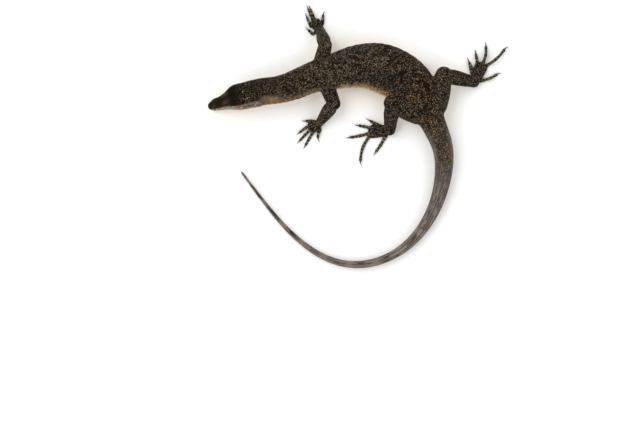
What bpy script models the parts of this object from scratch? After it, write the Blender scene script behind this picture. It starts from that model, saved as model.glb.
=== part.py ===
"""Water monitor lizard (Varanus salvator), a young adult 1.21 m long from snout to tail tip.

The animal lies low on its belly and walks: head down, trunk bent to one side, tail swept round in a hook.
It is lofted along one spine and parted with thin cuts into head, jaw, neck, chest, belly, hips and tail
lengths. Each leg is an upper piece, a lower piece and a foot with its five digits, and every claw is its own
piece. Metres, +Z up, floor at Z = 0. The snout points along -X, so the animal's right side is toward +Y.
"""

import math

import bmesh
import bpy
import numpy as np
from mathutils import Matrix, Vector

# ---------------------------------------------------------------- driving dimensions
TOTAL_LENGTH = 1.212
TAIL_START = 0.520
CUT = 0.0003                      # the thin cut between two touching pieces
LEG_CUT = 0.00036                 # the same where a faceted leg piece meets another
SNOUT_TIP = (-0.3020, 0.0583)     # in plan
BODY_SIDES = 19                   # odd: a flat below and a ridge above
TAIL_SIDES = 11
LIMB_SIDES = 10                   # these two have a flat below
DIGIT_SIDES = 6
CLAW_SIDES = 5
SPINE_STEP = 0.001

# Along the spine, distance from the snout tip: value. The heading is that of the spine toward the tail.
HEADING = ((0.000, 15), (0.106, 15), (0.130, 6), (0.160, 15), (0.200, 24), (0.250, 14), (0.300, 12),
           (0.340, -5), (0.380, -24), (0.420, -35), (0.460, -59), (0.500, -66), (0.540, -66),
           (0.600, -89), (0.680, -109), (0.780, -136), (0.880, -171), (0.980, -209),
           (1.080, -228), (1.212, -234))
AXIS_HEIGHT = ((0.000, 0.0125), (0.106, 0.0382), (0.135, 0.0432), (0.160, 0.0445), (0.200, 0.0435),
               (0.250, 0.0395), (0.300, 0.0366), (0.400, 0.0364), (0.450, 0.0335), (0.520, 0.0256))
ROLL = ((0.000, 18.0), (0.105, 18.0), (0.210, 5), (0.500, 2), (0.600, 0), (1.212, 0))
HALF_WIDTH = ((0.000, 0.0008), (0.001, 0.0043), (0.003, 0.0065), (0.007, 0.0089), (0.027, 0.0136),
              (0.046, 0.0178), (0.064, 0.0238), (0.090, 0.0264), (0.104, 0.0274), (0.130, 0.0270),
              (0.185, 0.0298), (0.215, 0.0308), (0.260, 0.0355), (0.315, 0.0434), (0.375, 0.0502),
              (0.410, 0.0490), (0.450, 0.0420), (0.490, 0.0325), (0.520, 0.0255))
TOP = ((0.000, 0.0014), (0.0015, 0.0044), (0.005, 0.0069), (0.018, 0.0129), (0.036, 0.0175), (0.056, 0.0284),
       (0.064, 0.0309), (0.093, 0.0316), (0.119, 0.0305), (0.160, 0.0275), (0.209, 0.0290),
       (0.260, 0.0345), (0.330, 0.0375), (0.400, 0.0370), (0.450, 0.0335), (0.520, 0.0260))
BOTTOM = ((0.000, 0.0012), (0.002, 0.0038), (0.007, 0.0066), (0.027, 0.0116), (0.060, 0.0136),
          (0.077, 0.0146), (0.101, 0.0191), (0.119, 0.0215), (0.160, 0.0250), (0.209, 0.0275),
          (0.250, 0.0335), (0.300, 0.0380), (0.450, 0.0350), (0.520, 0.0268))
SQUARE_TOP = ((0.000, 2.4), (0.012, 2.8), (0.027, 3.6), (0.050, 4.2), (0.068, 4.4), (0.085, 3.4),
              (0.105, 2.6), (0.140, 2.2), (0.520, 2.1), (0.600, 1.8), (1.212, 1.7))
SQUARE_BOTTOM = ((0.000, 2.4), (0.100, 2.4), (0.200, 2.2), (0.300, 2.5), (0.450, 2.5), (0.520, 2.2),
                 (1.212, 2.1))
PINCH = ((0.000, 0.0), (0.020, 0.10), (0.060, 0.08), (0.100, 0.05), (0.140, 0.0), (1.212, 0.0))

# The tail thins out as an exponential, faster across than up and down, so it grows flat-sided. Its last third
# is fuller than that, by a factor for each share of its length.
TAIL_THINNING = 2.35
TAIL_LOWERING = 1.60
TAIL_FULLNESS = ((0.0, 1.0), (0.42, 1.0), (0.55, 1.09), (0.66, 1.18), (0.80, 1.22), (0.90, 1.16), (1.0, 1.08))
TAIL_TIP_ROUND = 0.010
TAIL_TIP_SHARE = 0.20             # how wide the very tip still is, of the width just before it
TAIL_FLATTENED = 0.045            # the share of its depth that the floor takes off the tail's underside

# Lengths of the trunk and tail between cuts: name, first and last station, rings.
BODY_LENGTHS = (
    ("neck", 0.112, 0.215, 8),
    ("chest", 0.215, 0.305, 8),
    ("belly", 0.305, 0.430, 10),
    ("hips", 0.430, 0.520, 8),
    ("tail_1", 0.520, 0.640, 9),
    ("tail_2", 0.640, 0.775, 9),
    ("tail_3", 0.775, 0.915, 9),
    ("tail_4", 0.915, 1.060, 9),
    ("tail_5", 1.060, 1.212, 9),
)
HEAD_RINGS = (0.0004, 0.0012, 0.0028, 0.0055, 0.009, 0.014, 0.021, 0.029, 0.037, 0.045, 0.052, 0.059, 0.067,
              0.076, 0.087, 0.099, 0.112)

# The head, in its own frame: back from the snout tip, to the animal's left, up from the mouth line.
MOUTH_HEIGHT = -0.0005
MOUTH_LENGTH = 0.081
JAW_BACK_LEAN = 0.010
EYE_PLACE = (0.0637, 0.0142, 0.0110)
EYE_RADIUS = 0.0078
ORBIT_RADIUS = 0.0140
ORBIT_DEPTH = 0.0032
EAR_PLACE = (0.1052, 0.0270, 0.0028)
EAR_RADII = (0.0054, 0.0026, 0.0072)
NOSTRIL_PLACE = (0.0160, 0.0113, 0.0034)
NOSTRIL_RADII = (0.0042, 0.0023, 0.0028)

# Each leg: where it leaves the spine, the lengths of its bones, and the half widths of its pieces.
FORELIMB = {
    "pieces": ("upper_arm", "forearm", "hand"),
    "root": 0.245,
    "root_spread": 0.020,
    "root_height": 0.036,
    "upper": 0.043,
    "lower": 0.055,
    "upper_radii": ((0.0, 0.0176), (0.5, 0.0156), (1.0, 0.0140)),
    "lower_radii": ((0.0, 0.0104), (0.30, 0.0143), (0.75, 0.0112), (1.0, 0.0088)),
    "wrist_height": 0.0130,
    "foot_widths": ((0.0, 0.0078), (0.5, 0.0112), (1.0, 0.0120)),
    "foot_length": 0.021,
    "reach": (0.0170, 0.0215, 0.0245, 0.0235, 0.0165),
    "digits": (0.012, 0.025, 0.030, 0.031, 0.018),
    "digit_radius": 0.0034,
    "claw": 0.0095,
}
HINDLIMB = {
    "pieces": ("thigh", "shank", "foot"),
    "root": 0.487,
    "root_spread": 0.018,
    "root_height": 0.031,
    "upper": 0.060,
    "lower": 0.067,
    "upper_radii": ((0.0, 0.0275), (0.4, 0.0255), (1.0, 0.0176)),
    "lower_radii": ((0.0, 0.0130), (0.35, 0.0158), (0.75, 0.0134), (1.0, 0.0116)),
    "wrist_height": 0.0140,
    "foot_widths": ((0.0, 0.0098), (0.5, 0.0128), (1.0, 0.0140)),
    "foot_length": 0.037,
    "reach": (0.033, 0.039, 0.042, 0.040, 0.017),
    "digits": (0.012, 0.025, 0.040, 0.058, 0.036),
    "digit_radius": 0.0036,
    "claw": 0.0105,
}
LIMB_FLATNESS = 0.90
LIMB_STEPS = 6
LIMB_DOME = ((0.85, 0.53), (0.50, 0.87))     # past the joint, in radii, and the radius left there
SOLE_OUTLINE = ((-0.15, 0.8), (0.1, 1), (0.3, 1), (0.5, 1), (0.7, 1), (0.9, 1), (1.03, 0.92), (1.12, 0.62))
UNDER_FLOOR = 0.01                # how deep a piece may reach before it is cut off at the floor
PAD_SUNK = 0.0004                 # how deep a digit's or sole's underside is pressed flat
FOOT_HEIGHTS = ((0.0, 0.0074), (0.5, 0.0056), (1.0, 0.0042))
DIGIT_STEPS = 4
CLAW_SEAT = 0.0015                # the level stretch of a digit in front of its claw
DIGIT_TAPER = 0.72
KNUCKLE_SWELL = 0.14
CLAW_RADIUS = 0.0019
CLAW_NARROW = 0.72                # its width, as a share of its depth
CLAW_TAPER = 0.75
CLAW_CURL = 70
CLAW_STEPS = 4
CLAW_TIP_HEIGHT = 0.0002
DIGIT_RISE = 0.0022               # how far a digit's end stands up off the floor, under its claw
RISE_LENGTH = 0.016

# The pose of each leg, in degrees of plan: the joint's height, headings of the upper and lower piece and of
# the foot, and for each digit, from first to fifth: spread of its knuckle, heading of its first and second
# half from the foot's line, outward positive, the sideways lean of its claw, and the share of its length
# that it covers in plan, the rest of which goes into its arch.
POSES = (
    ("left", FORELIMB, 0.0420, -69, -127, -147,
     ((-44, -33, -33, 0, 1), (-20, 4, 4, 0, 1), (3, 14, 14, 0, 1), (22, 26, 28, 0, 1),
      (58, 24, 60, -60, 0.90))),
    ("right", FORELIMB, 0.0560, 77, 107, 125,
     ((-80, -12, -12, 0, 1), (-30, 12, 12, 0, 0.80), (-2, 13, 13, 0, 0.85), (7, 12, 14, 0, 0.80),
      (52, 39, 39, -60, 0.90))),
    ("left", HINDLIMB, 0.0560, 164, -94, -175,
     ((-29, -34, -34, 0, 1), (-11, -20, -14, 0, 1), (4, 11, 3, 0, 1), (10, 46, 81, -50, 1),
      (51, 57, 49, 0, 1))),
    ("right", HINDLIMB, 0.0380, 72, -11.5, 64,
     ((-37, -46, -46, 0, 0.80), (-15, -36, -36, 0, 0.80), (0, -3, -28, 0, 0.90), (10, 36, 10, -60, 0.92),
      (53, 53, 30, -60, 0.95))),
)

# ---------------------------------------------------------------- colours: base colour, roughness
HIDE_DARK = ((0.045, 0.036, 0.022), 0.55)
HIDE_HEAD = ((0.030, 0.024, 0.018), 0.45)
HIDE_TAIL = ((0.085, 0.072, 0.055), 0.55)
HIDE_LEG = ((0.050, 0.045, 0.034), 0.55)
JAW_PALE = ((0.420, 0.330, 0.170), 0.50)
CLAW_HORN = ((0.018, 0.014, 0.012), 0.30)
EYE_IRIS = ((0.300, 0.060, 0.025), 0.08)


# ---------------------------------------------------------------- numbers along the spine
def along(table, stations):
    """A smooth value at each station, from a table of (station, value)."""
    x, y = np.array(table, float).T
    s = np.clip(np.asarray(stations, float), x[0], x[-1])
    gap = np.diff(x)
    slope = np.diff(y) / gap
    tangent = np.concatenate(([slope[0]], slope[1:], [slope[-1]]))
    tangent[1:-1] = (slope[:-1] * gap[1:] + slope[1:] * gap[:-1]) / (gap[1:] + gap[:-1])
    tangent[1:-1][slope[:-1] * slope[1:] <= 0] = 0
    k = np.clip(np.searchsorted(x, s) - 1, 0, len(x) - 2)
    t = (s - x[k]) / gap[k]
    return ((2 * t**3 - 3 * t**2 + 1) * y[k] + (t**3 - 2 * t**2 + t) * gap[k] * tangent[k]
            + (3 * t**2 - 2 * t**3) * y[k + 1] + (t**3 - t**2) * gap[k] * tangent[k + 1])


def tail_share(stations):
    """0 at the tail's base, 1 at its tip."""
    return np.clip((np.asarray(stations) - TAIL_START) / (TOTAL_LENGTH - TAIL_START), 0, 1)


def tail_end(stations):
    """Rounds the last stretch of the tail to a blunt tip."""
    left = np.clip((TOTAL_LENGTH - np.asarray(stations)) / TAIL_TIP_ROUND, 0, 1)
    return np.sqrt(np.clip(1 - (1 - left) ** 2, TAIL_TIP_SHARE**2, 1))


def on_tail(table, thinning, stations):
    """The table's value on head and trunk, and its last value thinned out along the tail."""
    return along(table, stations) * np.exp(-thinning * tail_share(stations)) * tail_end(stations)


def axis_height(stations):
    """Above the floor: from its table on head and trunk, and as high as the tail is deep on the tail."""
    tail_depth = along(BOTTOM, stations) * np.exp(-TAIL_LOWERING * tail_share(stations))
    on_floor = tail_depth * (1 - TAIL_FLATTENED)
    return np.where(np.asarray(stations) < TAIL_START, along(AXIS_HEIGHT, stations), on_floor)


def trace_spine():
    """Stations and places of the spine, stepped along its heading at the height of its axis."""
    stations = np.arange(0, TOTAL_LENGTH + SPINE_STEP, SPINE_STEP)
    height = axis_height(stations)
    climb = np.gradient(height, stations)
    heading = np.radians(along(HEADING, stations))
    step = np.sqrt(1 - climb**2)[:, None] * np.stack((np.cos(heading), np.sin(heading)), 1) * SPINE_STEP
    plan = np.array(SNOUT_TIP) + np.concatenate((np.zeros((1, 2)), np.cumsum((step[1:] + step[:-1]) / 2, 0)))
    return stations, np.column_stack((plan, height)), heading, np.arcsin(climb)


SPINE, SPINE_PLACES, SPINE_HEADINGS, SPINE_CLIMBS = trace_spine()


def spine_frame(station):
    """The axis there, and the directions toward the tail, to the right and up, turned by the roll."""
    centre = Vector([np.interp(station, SPINE, SPINE_PLACES[:, i]) for i in range(3)])
    heading = float(np.interp(station, SPINE, SPINE_HEADINGS))
    climb = float(np.interp(station, SPINE, SPINE_CLIMBS))
    roll = math.radians(float(along(ROLL, station)))
    back = Vector((math.cos(climb) * math.cos(heading), math.cos(climb) * math.sin(heading), math.sin(climb)))
    level = Vector((-math.sin(heading), math.cos(heading), 0))
    upright = back.cross(level)
    right = level * math.cos(roll) - upright * math.sin(roll)
    up = upright * math.cos(roll) + level * math.sin(roll)
    return centre, back, right, up


def body_ring(station, sides, grow=0.0):
    """Points round the body: a squared ellipse, narrower toward its top where it is pinched."""
    fullness = float(along(TAIL_FULLNESS, tail_share(station)))
    width = float(on_tail(HALF_WIDTH, TAIL_THINNING, station)) * fullness + grow
    top = float(on_tail(TOP, TAIL_LOWERING, station)) + grow
    bottom = float(on_tail(BOTTOM, TAIL_LOWERING, station)) + grow
    powers = (2 / float(along(SQUARE_TOP, station)), 2 / float(along(SQUARE_BOTTOM, station)))
    pinch = float(along(PINCH, station))
    centre, _, right, up = spine_frame(station)
    ring = []
    for k in range(sides):
        angle = 2 * math.pi * (k + 0.5) / sides - math.pi / 2
        across, above = math.cos(angle), math.sin(angle)
        power = powers[0] if above > 0 else powers[1]
        a = width * math.copysign(abs(across) ** power, across)
        b = (top if above > 0 else bottom) * math.copysign(abs(above) ** power, above)
        a *= 1 - pinch * max(b, 0) / top
        ring.append(centre + right * a + up * b)
    return ring


# ---------------------------------------------------------------- meshes
def loft(rings, start=None, end=None, lowest=0.0):
    """A closed skin through the rings, with a cap or a tip at each end, pressed flat on the floor."""
    shape = bmesh.new()
    loops = [[shape.verts.new((p[0], p[1], max(p[2], lowest))) for p in ring] for ring in rings]
    sides = len(rings[0])
    for first, second in zip(loops, loops[1:]):
        for k in range(sides):
            n = (k + 1) % sides
            shape.faces.new((first[k], first[n], second[n], second[k]))
    for loop, tip in ((loops[0], start), (loops[-1], end)):
        if tip is None:
            shape.faces.new(loop)
            continue
        point = shape.verts.new((tip[0], tip[1], max(tip[2], lowest)))
        for k in range(sides):
            shape.faces.new((loop[k], loop[(k + 1) % sides], point))
    return shape


def place(shape, name, collection, material=None):
    """Turns a bmesh into a named object in a collection, its faces outward."""
    shape.normal_update()
    bmesh.ops.recalc_face_normals(shape, faces=shape.faces)
    mesh = bpy.data.meshes.new(name)
    shape.to_mesh(mesh)
    shape.free()
    mesh.shade_smooth()
    mesh.set_sharp_from_angle(angle=math.radians(40))
    obj = bpy.data.objects.new(name, mesh)
    collection.objects.link(obj)
    if material:
        mesh.materials.append(material)
    else:
        obj.display_type = "WIRE"
        obj.hide_render = True
    return obj


def boolean(obj, operation, cutter):
    """Joins to, cuts from or crosses with another object, or with all of a collection."""
    modifier = obj.modifiers.new(f"{operation.lower()} {cutter.name}", "BOOLEAN")
    modifier.operation = operation
    modifier.solver = "EXACT"
    if isinstance(cutter, bpy.types.Collection):
        modifier.operand_type = "COLLECTION"
        modifier.collection = cutter
    else:
        modifier.object = cutter


def new_material(name, finish):
    colour, roughness = finish
    material = bpy.data.materials.new(name)
    material.use_nodes = True
    shader = material.node_tree.nodes["Principled BSDF"]
    shader.inputs["Base Color"].default_value = (*colour, 1)
    shader.inputs["Roughness"].default_value = roughness
    shader.inputs["Metallic"].default_value = 0.0
    return material


# ---------------------------------------------------------------- head, eyes and jaw
def head_matrix():
    """From the head's own frame (back, left, up) to the world. The head is straight, so one frame serves."""
    centre, back, right, up = spine_frame(0.0)
    matrix = Matrix((back, -right, up)).transposed().to_4x4()
    matrix.translation = centre
    return matrix


def head_loft():
    rings = [body_ring(s, BODY_SIDES) for s in HEAD_RINGS[:-1]]
    rings.append(body_ring(HEAD_RINGS[-1] - CUT / 2, BODY_SIDES))
    return loft(rings, start=spine_frame(0.0)[0])


def jaw_region(name, gap, cutters):
    """A block that holds the lower jaw: below the mouth line, in front of a leaning line at its corner."""
    low, far, wide = -0.045, -0.010, 0.050
    top, corner = MOUTH_HEIGHT + gap, MOUTH_LENGTH + gap
    outline = ((far, low), (corner + JAW_BACK_LEAN, low), (corner, top), (far, top))
    shape = bmesh.new()
    rings = [[shape.verts.new((x, y, z)) for x, z in outline] for y in (-wide, wide)]
    for k in range(4):
        n = (k + 1) % 4
        shape.faces.new((rings[0][k], rings[0][n], rings[1][n], rings[1][k]))
    shape.faces.new(rings[0])
    shape.faces.new(rings[1])
    shape.transform(head_matrix())
    return place(shape, name, cutters)


def ball(name, centre, radii, collection, material=None, segments=12, rings=8):
    """An ellipsoid in the head's frame, its poles across the head."""
    shape = bmesh.new()
    bmesh.ops.create_uvsphere(shape, u_segments=segments, v_segments=rings, radius=1.0)
    shape.transform(Matrix.Rotation(math.radians(90), 4, "X"))
    shape.transform(Matrix.Diagonal((*radii, 1)))
    shape.transform(head_matrix() @ Matrix.Translation(centre))
    return place(shape, name, collection, material)


def build_head(parts, cutters):
    hide = new_material("head_hide", HIDE_HEAD)
    head = place(head_loft(), "head", parts, hide)
    jaw = place(head_loft(), "lower_jaw", parts, new_material("jaw_hide", JAW_PALE))
    boolean(head, "DIFFERENCE", jaw_region("jaw_region_wide", CUT, cutters))
    boolean(jaw, "INTERSECT", jaw_region("jaw_region", 0.0, cutters))
    iris = new_material("eye_iris", EYE_IRIS)
    for side, sign in (("left", 1), ("right", -1)):
        x, y, z = EYE_PLACE
        ball(f"eye_{side}", (x, sign * y, z), (EYE_RADIUS,) * 3, parts, iris)
        socket = ball(f"socket_{side}", (x, sign * y, z), (EYE_RADIUS + CUT,) * 3, cutters)
        surface = float(along(HALF_WIDTH, x))
        orbit_y = surface + ORBIT_RADIUS - ORBIT_DEPTH
        orbit = ball(f"orbit_{side}", (x, sign * orbit_y, z), (ORBIT_RADIUS,) * 3, cutters)
        ear_x, ear_y, ear_z = EAR_PLACE
        ear = ball(f"ear_hollow_{side}", (ear_x, sign * ear_y, ear_z), EAR_RADII, cutters)
        nostril_x, nostril_y, nostril_z = NOSTRIL_PLACE
        nostril = ball(f"nostril_hollow_{side}", (nostril_x, sign * nostril_y, nostril_z), NOSTRIL_RADII,
                       cutters, segments=8, rings=6)
        for cutter in (orbit, socket, ear, nostril):
            boolean(head, "DIFFERENCE", cutter)


# ---------------------------------------------------------------- neck, trunk and tail
def build_body(parts):
    trunk_hide = new_material("trunk_hide", HIDE_DARK)
    tail_hide = new_material("tail_hide", HIDE_TAIL)
    for name, first, last, count in BODY_LENGTHS:
        on_the_tail = first >= TAIL_START
        is_tip = last >= TOTAL_LENGTH
        sides = TAIL_SIDES if on_the_tail else BODY_SIDES
        stops = np.linspace(first + CUT / 2, last - (0.0015 if is_tip else CUT / 2), count)
        rings = [body_ring(s, sides) for s in stops]
        tip = spine_frame(last)[0] if is_tip else None
        place(loft(rings, end=tip), name, parts, tail_hide if on_the_tail else trunk_hide)


def body_core(cutters):
    """Neck, trunk and tail base in one, grown by the cut, to trim the legs against."""
    stops = [s for _, first, last, count in BODY_LENGTHS[:5] for s in np.linspace(first, last, count)[:-1]]
    rings = [body_ring(s, BODY_SIDES, grow=LEG_CUT) for s in stops]
    return place(loft(rings), "body_core", cutters)


def floor_block(cutters):
    """All that lies under the floor. It trims the feet to flat soles."""
    shape = bmesh.new()
    bmesh.ops.create_cube(shape, size=TOTAL_LENGTH)
    shape.transform(Matrix.Translation((0, 0, -TOTAL_LENGTH / 2)))
    return place(shape, "under_floor", cutters)


# ---------------------------------------------------------------- legs
def heading_vector(degrees):
    return Vector((math.cos(math.radians(degrees)), math.sin(math.radians(degrees)), 0))


def tube_rings(path, widths, heights, sides):
    """Rings round a path of points, level across it, each with its own half width and half height."""
    rings = []
    for k, point in enumerate(path):
        ahead = (path[min(k + 1, len(path) - 1)] - path[max(k - 1, 0)]).normalized()
        across = ahead.cross(Vector((0, 0, 1))).normalized()
        above = across.cross(ahead)
        rings.append([point + across * (widths[k] * math.cos(2 * math.pi * j / sides))
                      + above * (heights[k] * math.sin(2 * math.pi * j / sides)) for j in range(sides)])
    return rings


def limb_loft(start, finish, radii, grow=0.0):
    """A muscle from joint to joint with domed ends; radii is a table of (share of its length, half width)."""
    line = finish - start
    length = line.length
    path, widths = [], []
    first, last = radii[0][1] + grow, radii[-1][1] + grow
    for past, share in LIMB_DOME:
        path.append(start - line * (past * first / length))
        widths.append(first * share)
    for share in np.linspace(0, 1, LIMB_STEPS):
        path.append(start + line * float(share))
        widths.append(float(along(radii, share)) + grow)
    for past, share in reversed(LIMB_DOME):
        path.append(finish + line * (past * last / length))
        widths.append(last * share)
    rings = tube_rings(path, widths, [w * LIMB_FLATNESS for w in widths], LIMB_SIDES)
    return loft(rings, start=start - line * (first / length), end=finish + line * (last / length))


def flat_below(radius, sides):
    """How high the middle of a tube of that many sides lies when its underside is pressed on the floor."""
    return radius * math.cos(math.pi / sides) - PAD_SUNK


def foot_loft(limb, ankle, heading):
    """The palm or sole, from inside the leg's end to the knuckles, with a domed front."""
    ahead = heading_vector(heading)
    widths = [float(along(limb["foot_widths"], share)) * end for share, end in SOLE_OUTLINE]
    heights = [float(along(FOOT_HEIGHTS, share)) * end for share, end in SOLE_OUTLINE]
    path = [ankle + ahead * (share * limb["foot_length"]) for share, _ in SOLE_OUTLINE]
    for point, height in zip(path, heights):
        point.z = flat_below(height, LIMB_SIDES)
    return loft(tube_rings(path, widths, heights, LIMB_SIDES), lowest=-UNDER_FLOOR)


def digit_path(limb, index, ankle, heading, outward, digit_pose):
    """Points along a digit's middle, from inside the foot to its end, with the arch as their height."""
    spread, first, second, _, plan_share = digit_pose
    knuckle = ankle + heading_vector(heading + outward * spread) * limb["reach"][index]
    knuckle.z = 0
    length = limb["digits"][index]
    arch = length * math.sqrt(1 - plan_share**2) / 2
    covered = length * plan_share - CLAW_SEAT
    path = [ankle.lerp(knuckle, 0.5), knuckle.copy()]
    path[0].z = 0
    for step in range(1, DIGIT_STEPS + 1):
        t = (step - 1) / (DIGIT_STEPS - 1)
        turn = heading + outward * (first + (second - first) * t * t * (3 - 2 * t))
        path.append(path[-1] + heading_vector(turn) * (covered / DIGIT_STEPS))
        path[-1].z = arch * math.sin(math.pi * step / DIGIT_STEPS) ** 2
    path.append(path[-1] + heading_vector(turn) * CLAW_SEAT)
    return path


def build_digit(limb, name, index, ankle, heading, outward, digit_pose, digits, parts, horn):
    path = digit_path(limb, index, ankle, heading, outward, digit_pose)
    thick = limb["digit_radius"]
    shares = [k / (len(path) - 1) for k in range(len(path))]
    radii = [thick * (1 - (1 - DIGIT_TAPER) * s) * (1 + KNUCKLE_SWELL * math.sin(3 * math.pi * s) ** 2)
             for s in shares]
    for point, radius in zip(path, radii):
        to_end = (path[-1].xy - point.xy).length
        point.z += flat_below(radius, DIGIT_SIDES) + DIGIT_RISE * max(0, 1 - to_end / RISE_LENGTH) ** 2
    place(loft(tube_rings(path, radii, radii, DIGIT_SIDES), lowest=-UNDER_FLOOR), f"digit_{name}", digits)
    build_claw(limb, f"claw_{name}", path[-2], path[-1], outward * digit_pose[3], parts, horn)


def build_claw(limb, name, before, start, lean, parts, horn):
    """A curved horn that carries on from the digit's end and hooks down, leaning to one side by its lean."""
    forward = (start - before).normalized()
    point = start + forward * CUT
    hook_axis = Matrix.Rotation(math.radians(-lean), 3, forward) @ forward.cross(Vector((0, 0, 1)))
    turn = Matrix.Rotation(-math.radians(CLAW_CURL) / CLAW_STEPS, 3, hook_axis)
    path, radii = [], []
    for k in range(CLAW_STEPS):
        path.append(point.copy())
        radii.append(CLAW_RADIUS * (1 - k / CLAW_STEPS) ** CLAW_TAPER)
        point = point + forward * (limb["claw"] / CLAW_STEPS)
        forward = turn @ forward
    rings = tube_rings(path, [r * CLAW_NARROW for r in radii], radii, CLAW_SIDES)
    tip = Vector((point.x, point.y, max(point.z, CLAW_TIP_HEIGHT)))
    place(loft(rings, end=tip), name, parts, horn)


def build_leg(pose, core, floor, parts, cutters):
    side, limb, joint_height, upper_heading, lower_heading, foot_heading, digit_poses = pose
    outward = 1 if side == "left" else -1
    upper_name, lower_name, foot_name = (f"{piece}_{side}" for piece in limb["pieces"])
    hide = new_material(f"hide_{upper_name}", HIDE_LEG)
    horn = new_material(f"horn_{foot_name}", CLAW_HORN)

    centre, _, right, _ = spine_frame(limb["root"])
    root = centre - right * (outward * limb["root_spread"])
    root.z = limb["root_height"]
    rise = joint_height - root.z
    joint = root + heading_vector(upper_heading) * math.sqrt(limb["upper"] ** 2 - rise**2)
    joint.z = joint_height
    drop = joint_height - limb["wrist_height"]
    ankle = joint + heading_vector(lower_heading) * math.sqrt(limb["lower"] ** 2 - drop**2)
    ankle.z = limb["wrist_height"]

    upper = place(limb_loft(root, joint, limb["upper_radii"]), upper_name, parts, hide)
    boolean(upper, "DIFFERENCE", core)
    upper_wide = place(limb_loft(root, joint, limb["upper_radii"], LEG_CUT), f"{upper_name}_wide", cutters)
    lower = place(limb_loft(joint, ankle, limb["lower_radii"]), lower_name, parts, hide)
    boolean(lower, "DIFFERENCE", upper_wide)
    boolean(lower, "DIFFERENCE", core)
    lower_wide = place(limb_loft(joint, ankle, limb["lower_radii"], LEG_CUT), f"{lower_name}_wide", cutters)

    foot = place(foot_loft(limb, ankle, foot_heading), foot_name, parts, hide)
    digits = bpy.data.collections.new(f"digits_of_{foot_name}")
    digits.hide_render = True
    cutters.children.link(digits)
    for index, digit_pose in enumerate(digit_poses):
        build_digit(limb, f"{foot_name}_{index + 1}", index, ankle, foot_heading, outward, digit_pose,
                    digits, parts, horn)
    boolean(foot, "UNION", digits)
    boolean(foot, "DIFFERENCE", lower_wide)
    boolean(foot, "DIFFERENCE", floor)


# ---------------------------------------------------------------- the animal
def clear_scene():
    for obj in list(bpy.data.objects):
        bpy.data.objects.remove(obj)


def new_collection(name, helper=False):
    collection = bpy.data.collections.new(name)
    collection.hide_render = helper
    bpy.context.scene.collection.children.link(collection)
    return collection


def main():
    clear_scene()
    parts = new_collection("water_monitor")
    cutters = new_collection("cutters", helper=True)
    build_head(parts, cutters)
    build_body(parts)
    core = body_core(cutters)
    floor = floor_block(cutters)
    for pose in POSES:
        build_leg(pose, core, floor, parts, cutters)


main()
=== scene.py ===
# %% [markdown]
# # A water monitor lizard, life size
# The imported solids give the animal's pose and size, and physics uses them. This lesson dresses them: one
# skin over all the flesh, some sixty-four thousand scales that lie on that skin in rows, two eyes and
# twenty claws. Everything is in metres, in the same frame as the solids, with the floor at Z = 0 and the
# snout toward -X.

# %% The imported solids
import itertools
import math

import bmesh
import bpy
import numpy as np
from mathutils import Matrix, Vector
from mathutils.bvhtree import BVHTree
from mathutils.kdtree import KDTree


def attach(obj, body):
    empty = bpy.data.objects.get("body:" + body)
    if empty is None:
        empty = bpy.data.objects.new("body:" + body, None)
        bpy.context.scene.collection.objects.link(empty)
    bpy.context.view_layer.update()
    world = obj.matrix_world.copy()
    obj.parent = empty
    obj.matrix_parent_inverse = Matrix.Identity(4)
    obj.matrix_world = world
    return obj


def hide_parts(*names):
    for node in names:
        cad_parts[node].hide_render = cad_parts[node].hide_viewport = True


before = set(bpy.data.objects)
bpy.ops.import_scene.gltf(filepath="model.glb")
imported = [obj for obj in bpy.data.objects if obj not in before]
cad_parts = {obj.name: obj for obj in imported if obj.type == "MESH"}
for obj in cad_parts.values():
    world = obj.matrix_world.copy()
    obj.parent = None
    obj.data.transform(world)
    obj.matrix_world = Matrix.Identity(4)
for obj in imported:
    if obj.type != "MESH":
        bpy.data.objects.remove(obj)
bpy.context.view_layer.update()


# %% [markdown]
# ## Looking straight down
# The animal is seen from above, the usual way to show a whole specimen. A lens of normal length close by
# would make the back look bigger than the feet, so the camera stands far off with a long lens, which is
# nearly a parallel view. At the animal's height the picture is 1.28 m wide, or 2 mm for each of its 640
# pixels.

# %% Camera
PICTURE = (640, 427)
PIXEL = 0.002
PICTURE_MIDDLE = (-0.0776, -0.1552)
MIDDLE_HEIGHT = 0.03
CAMERA_AWAY = 6.0
FILM = 36.0


def new_object(name, data):
    """A mesh, a lamp or a camera, put into the scene."""
    obj = bpy.data.objects.new(name, data)
    bpy.context.scene.collection.objects.link(obj)
    return obj


camera_data = bpy.data.cameras.new("overhead_camera")
camera_data.sensor_width = FILM
camera_data.lens = FILM * CAMERA_AWAY / (PICTURE[0] * PIXEL)
camera_data.clip_end = 60
camera = new_object("overhead_camera", camera_data)
camera.location = (*PICTURE_MIDDLE, MIDDLE_HEIGHT + CAMERA_AWAY)
bpy.context.scene.camera = camera
print("lens", round(camera_data.lens, 1), "mm, picture width", PICTURE[0] * PIXEL, "m")

# %% [markdown]
# ## Colour helpers
# People name colours the way a screen shows them, from 0 to 255, but light adds up in another scale. One
# helper turns the first into the second, so that every colour below can be read as a paint chip. Another
# makes an empty material and hands back its tree of nodes. The rest add nodes to that tree: any kind, a
# noise, and a mix of two colours.

# %% Paint chips and new materials
def paint(red, green, blue):
    """A screen colour from 0 to 255, as the light values that a shader takes."""
    share = np.array([red, green, blue]) / 255
    linear = np.where(share <= 0.04045, share / 12.92, ((share + 0.055) / 1.055) ** 2.4)
    return (*(float(v) for v in linear), 1.0)


def new_material(name):
    material = bpy.data.materials.new(name)
    material.use_nodes = True
    tree = material.node_tree
    return material, tree, tree.nodes["Principled BSDF"]


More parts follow.
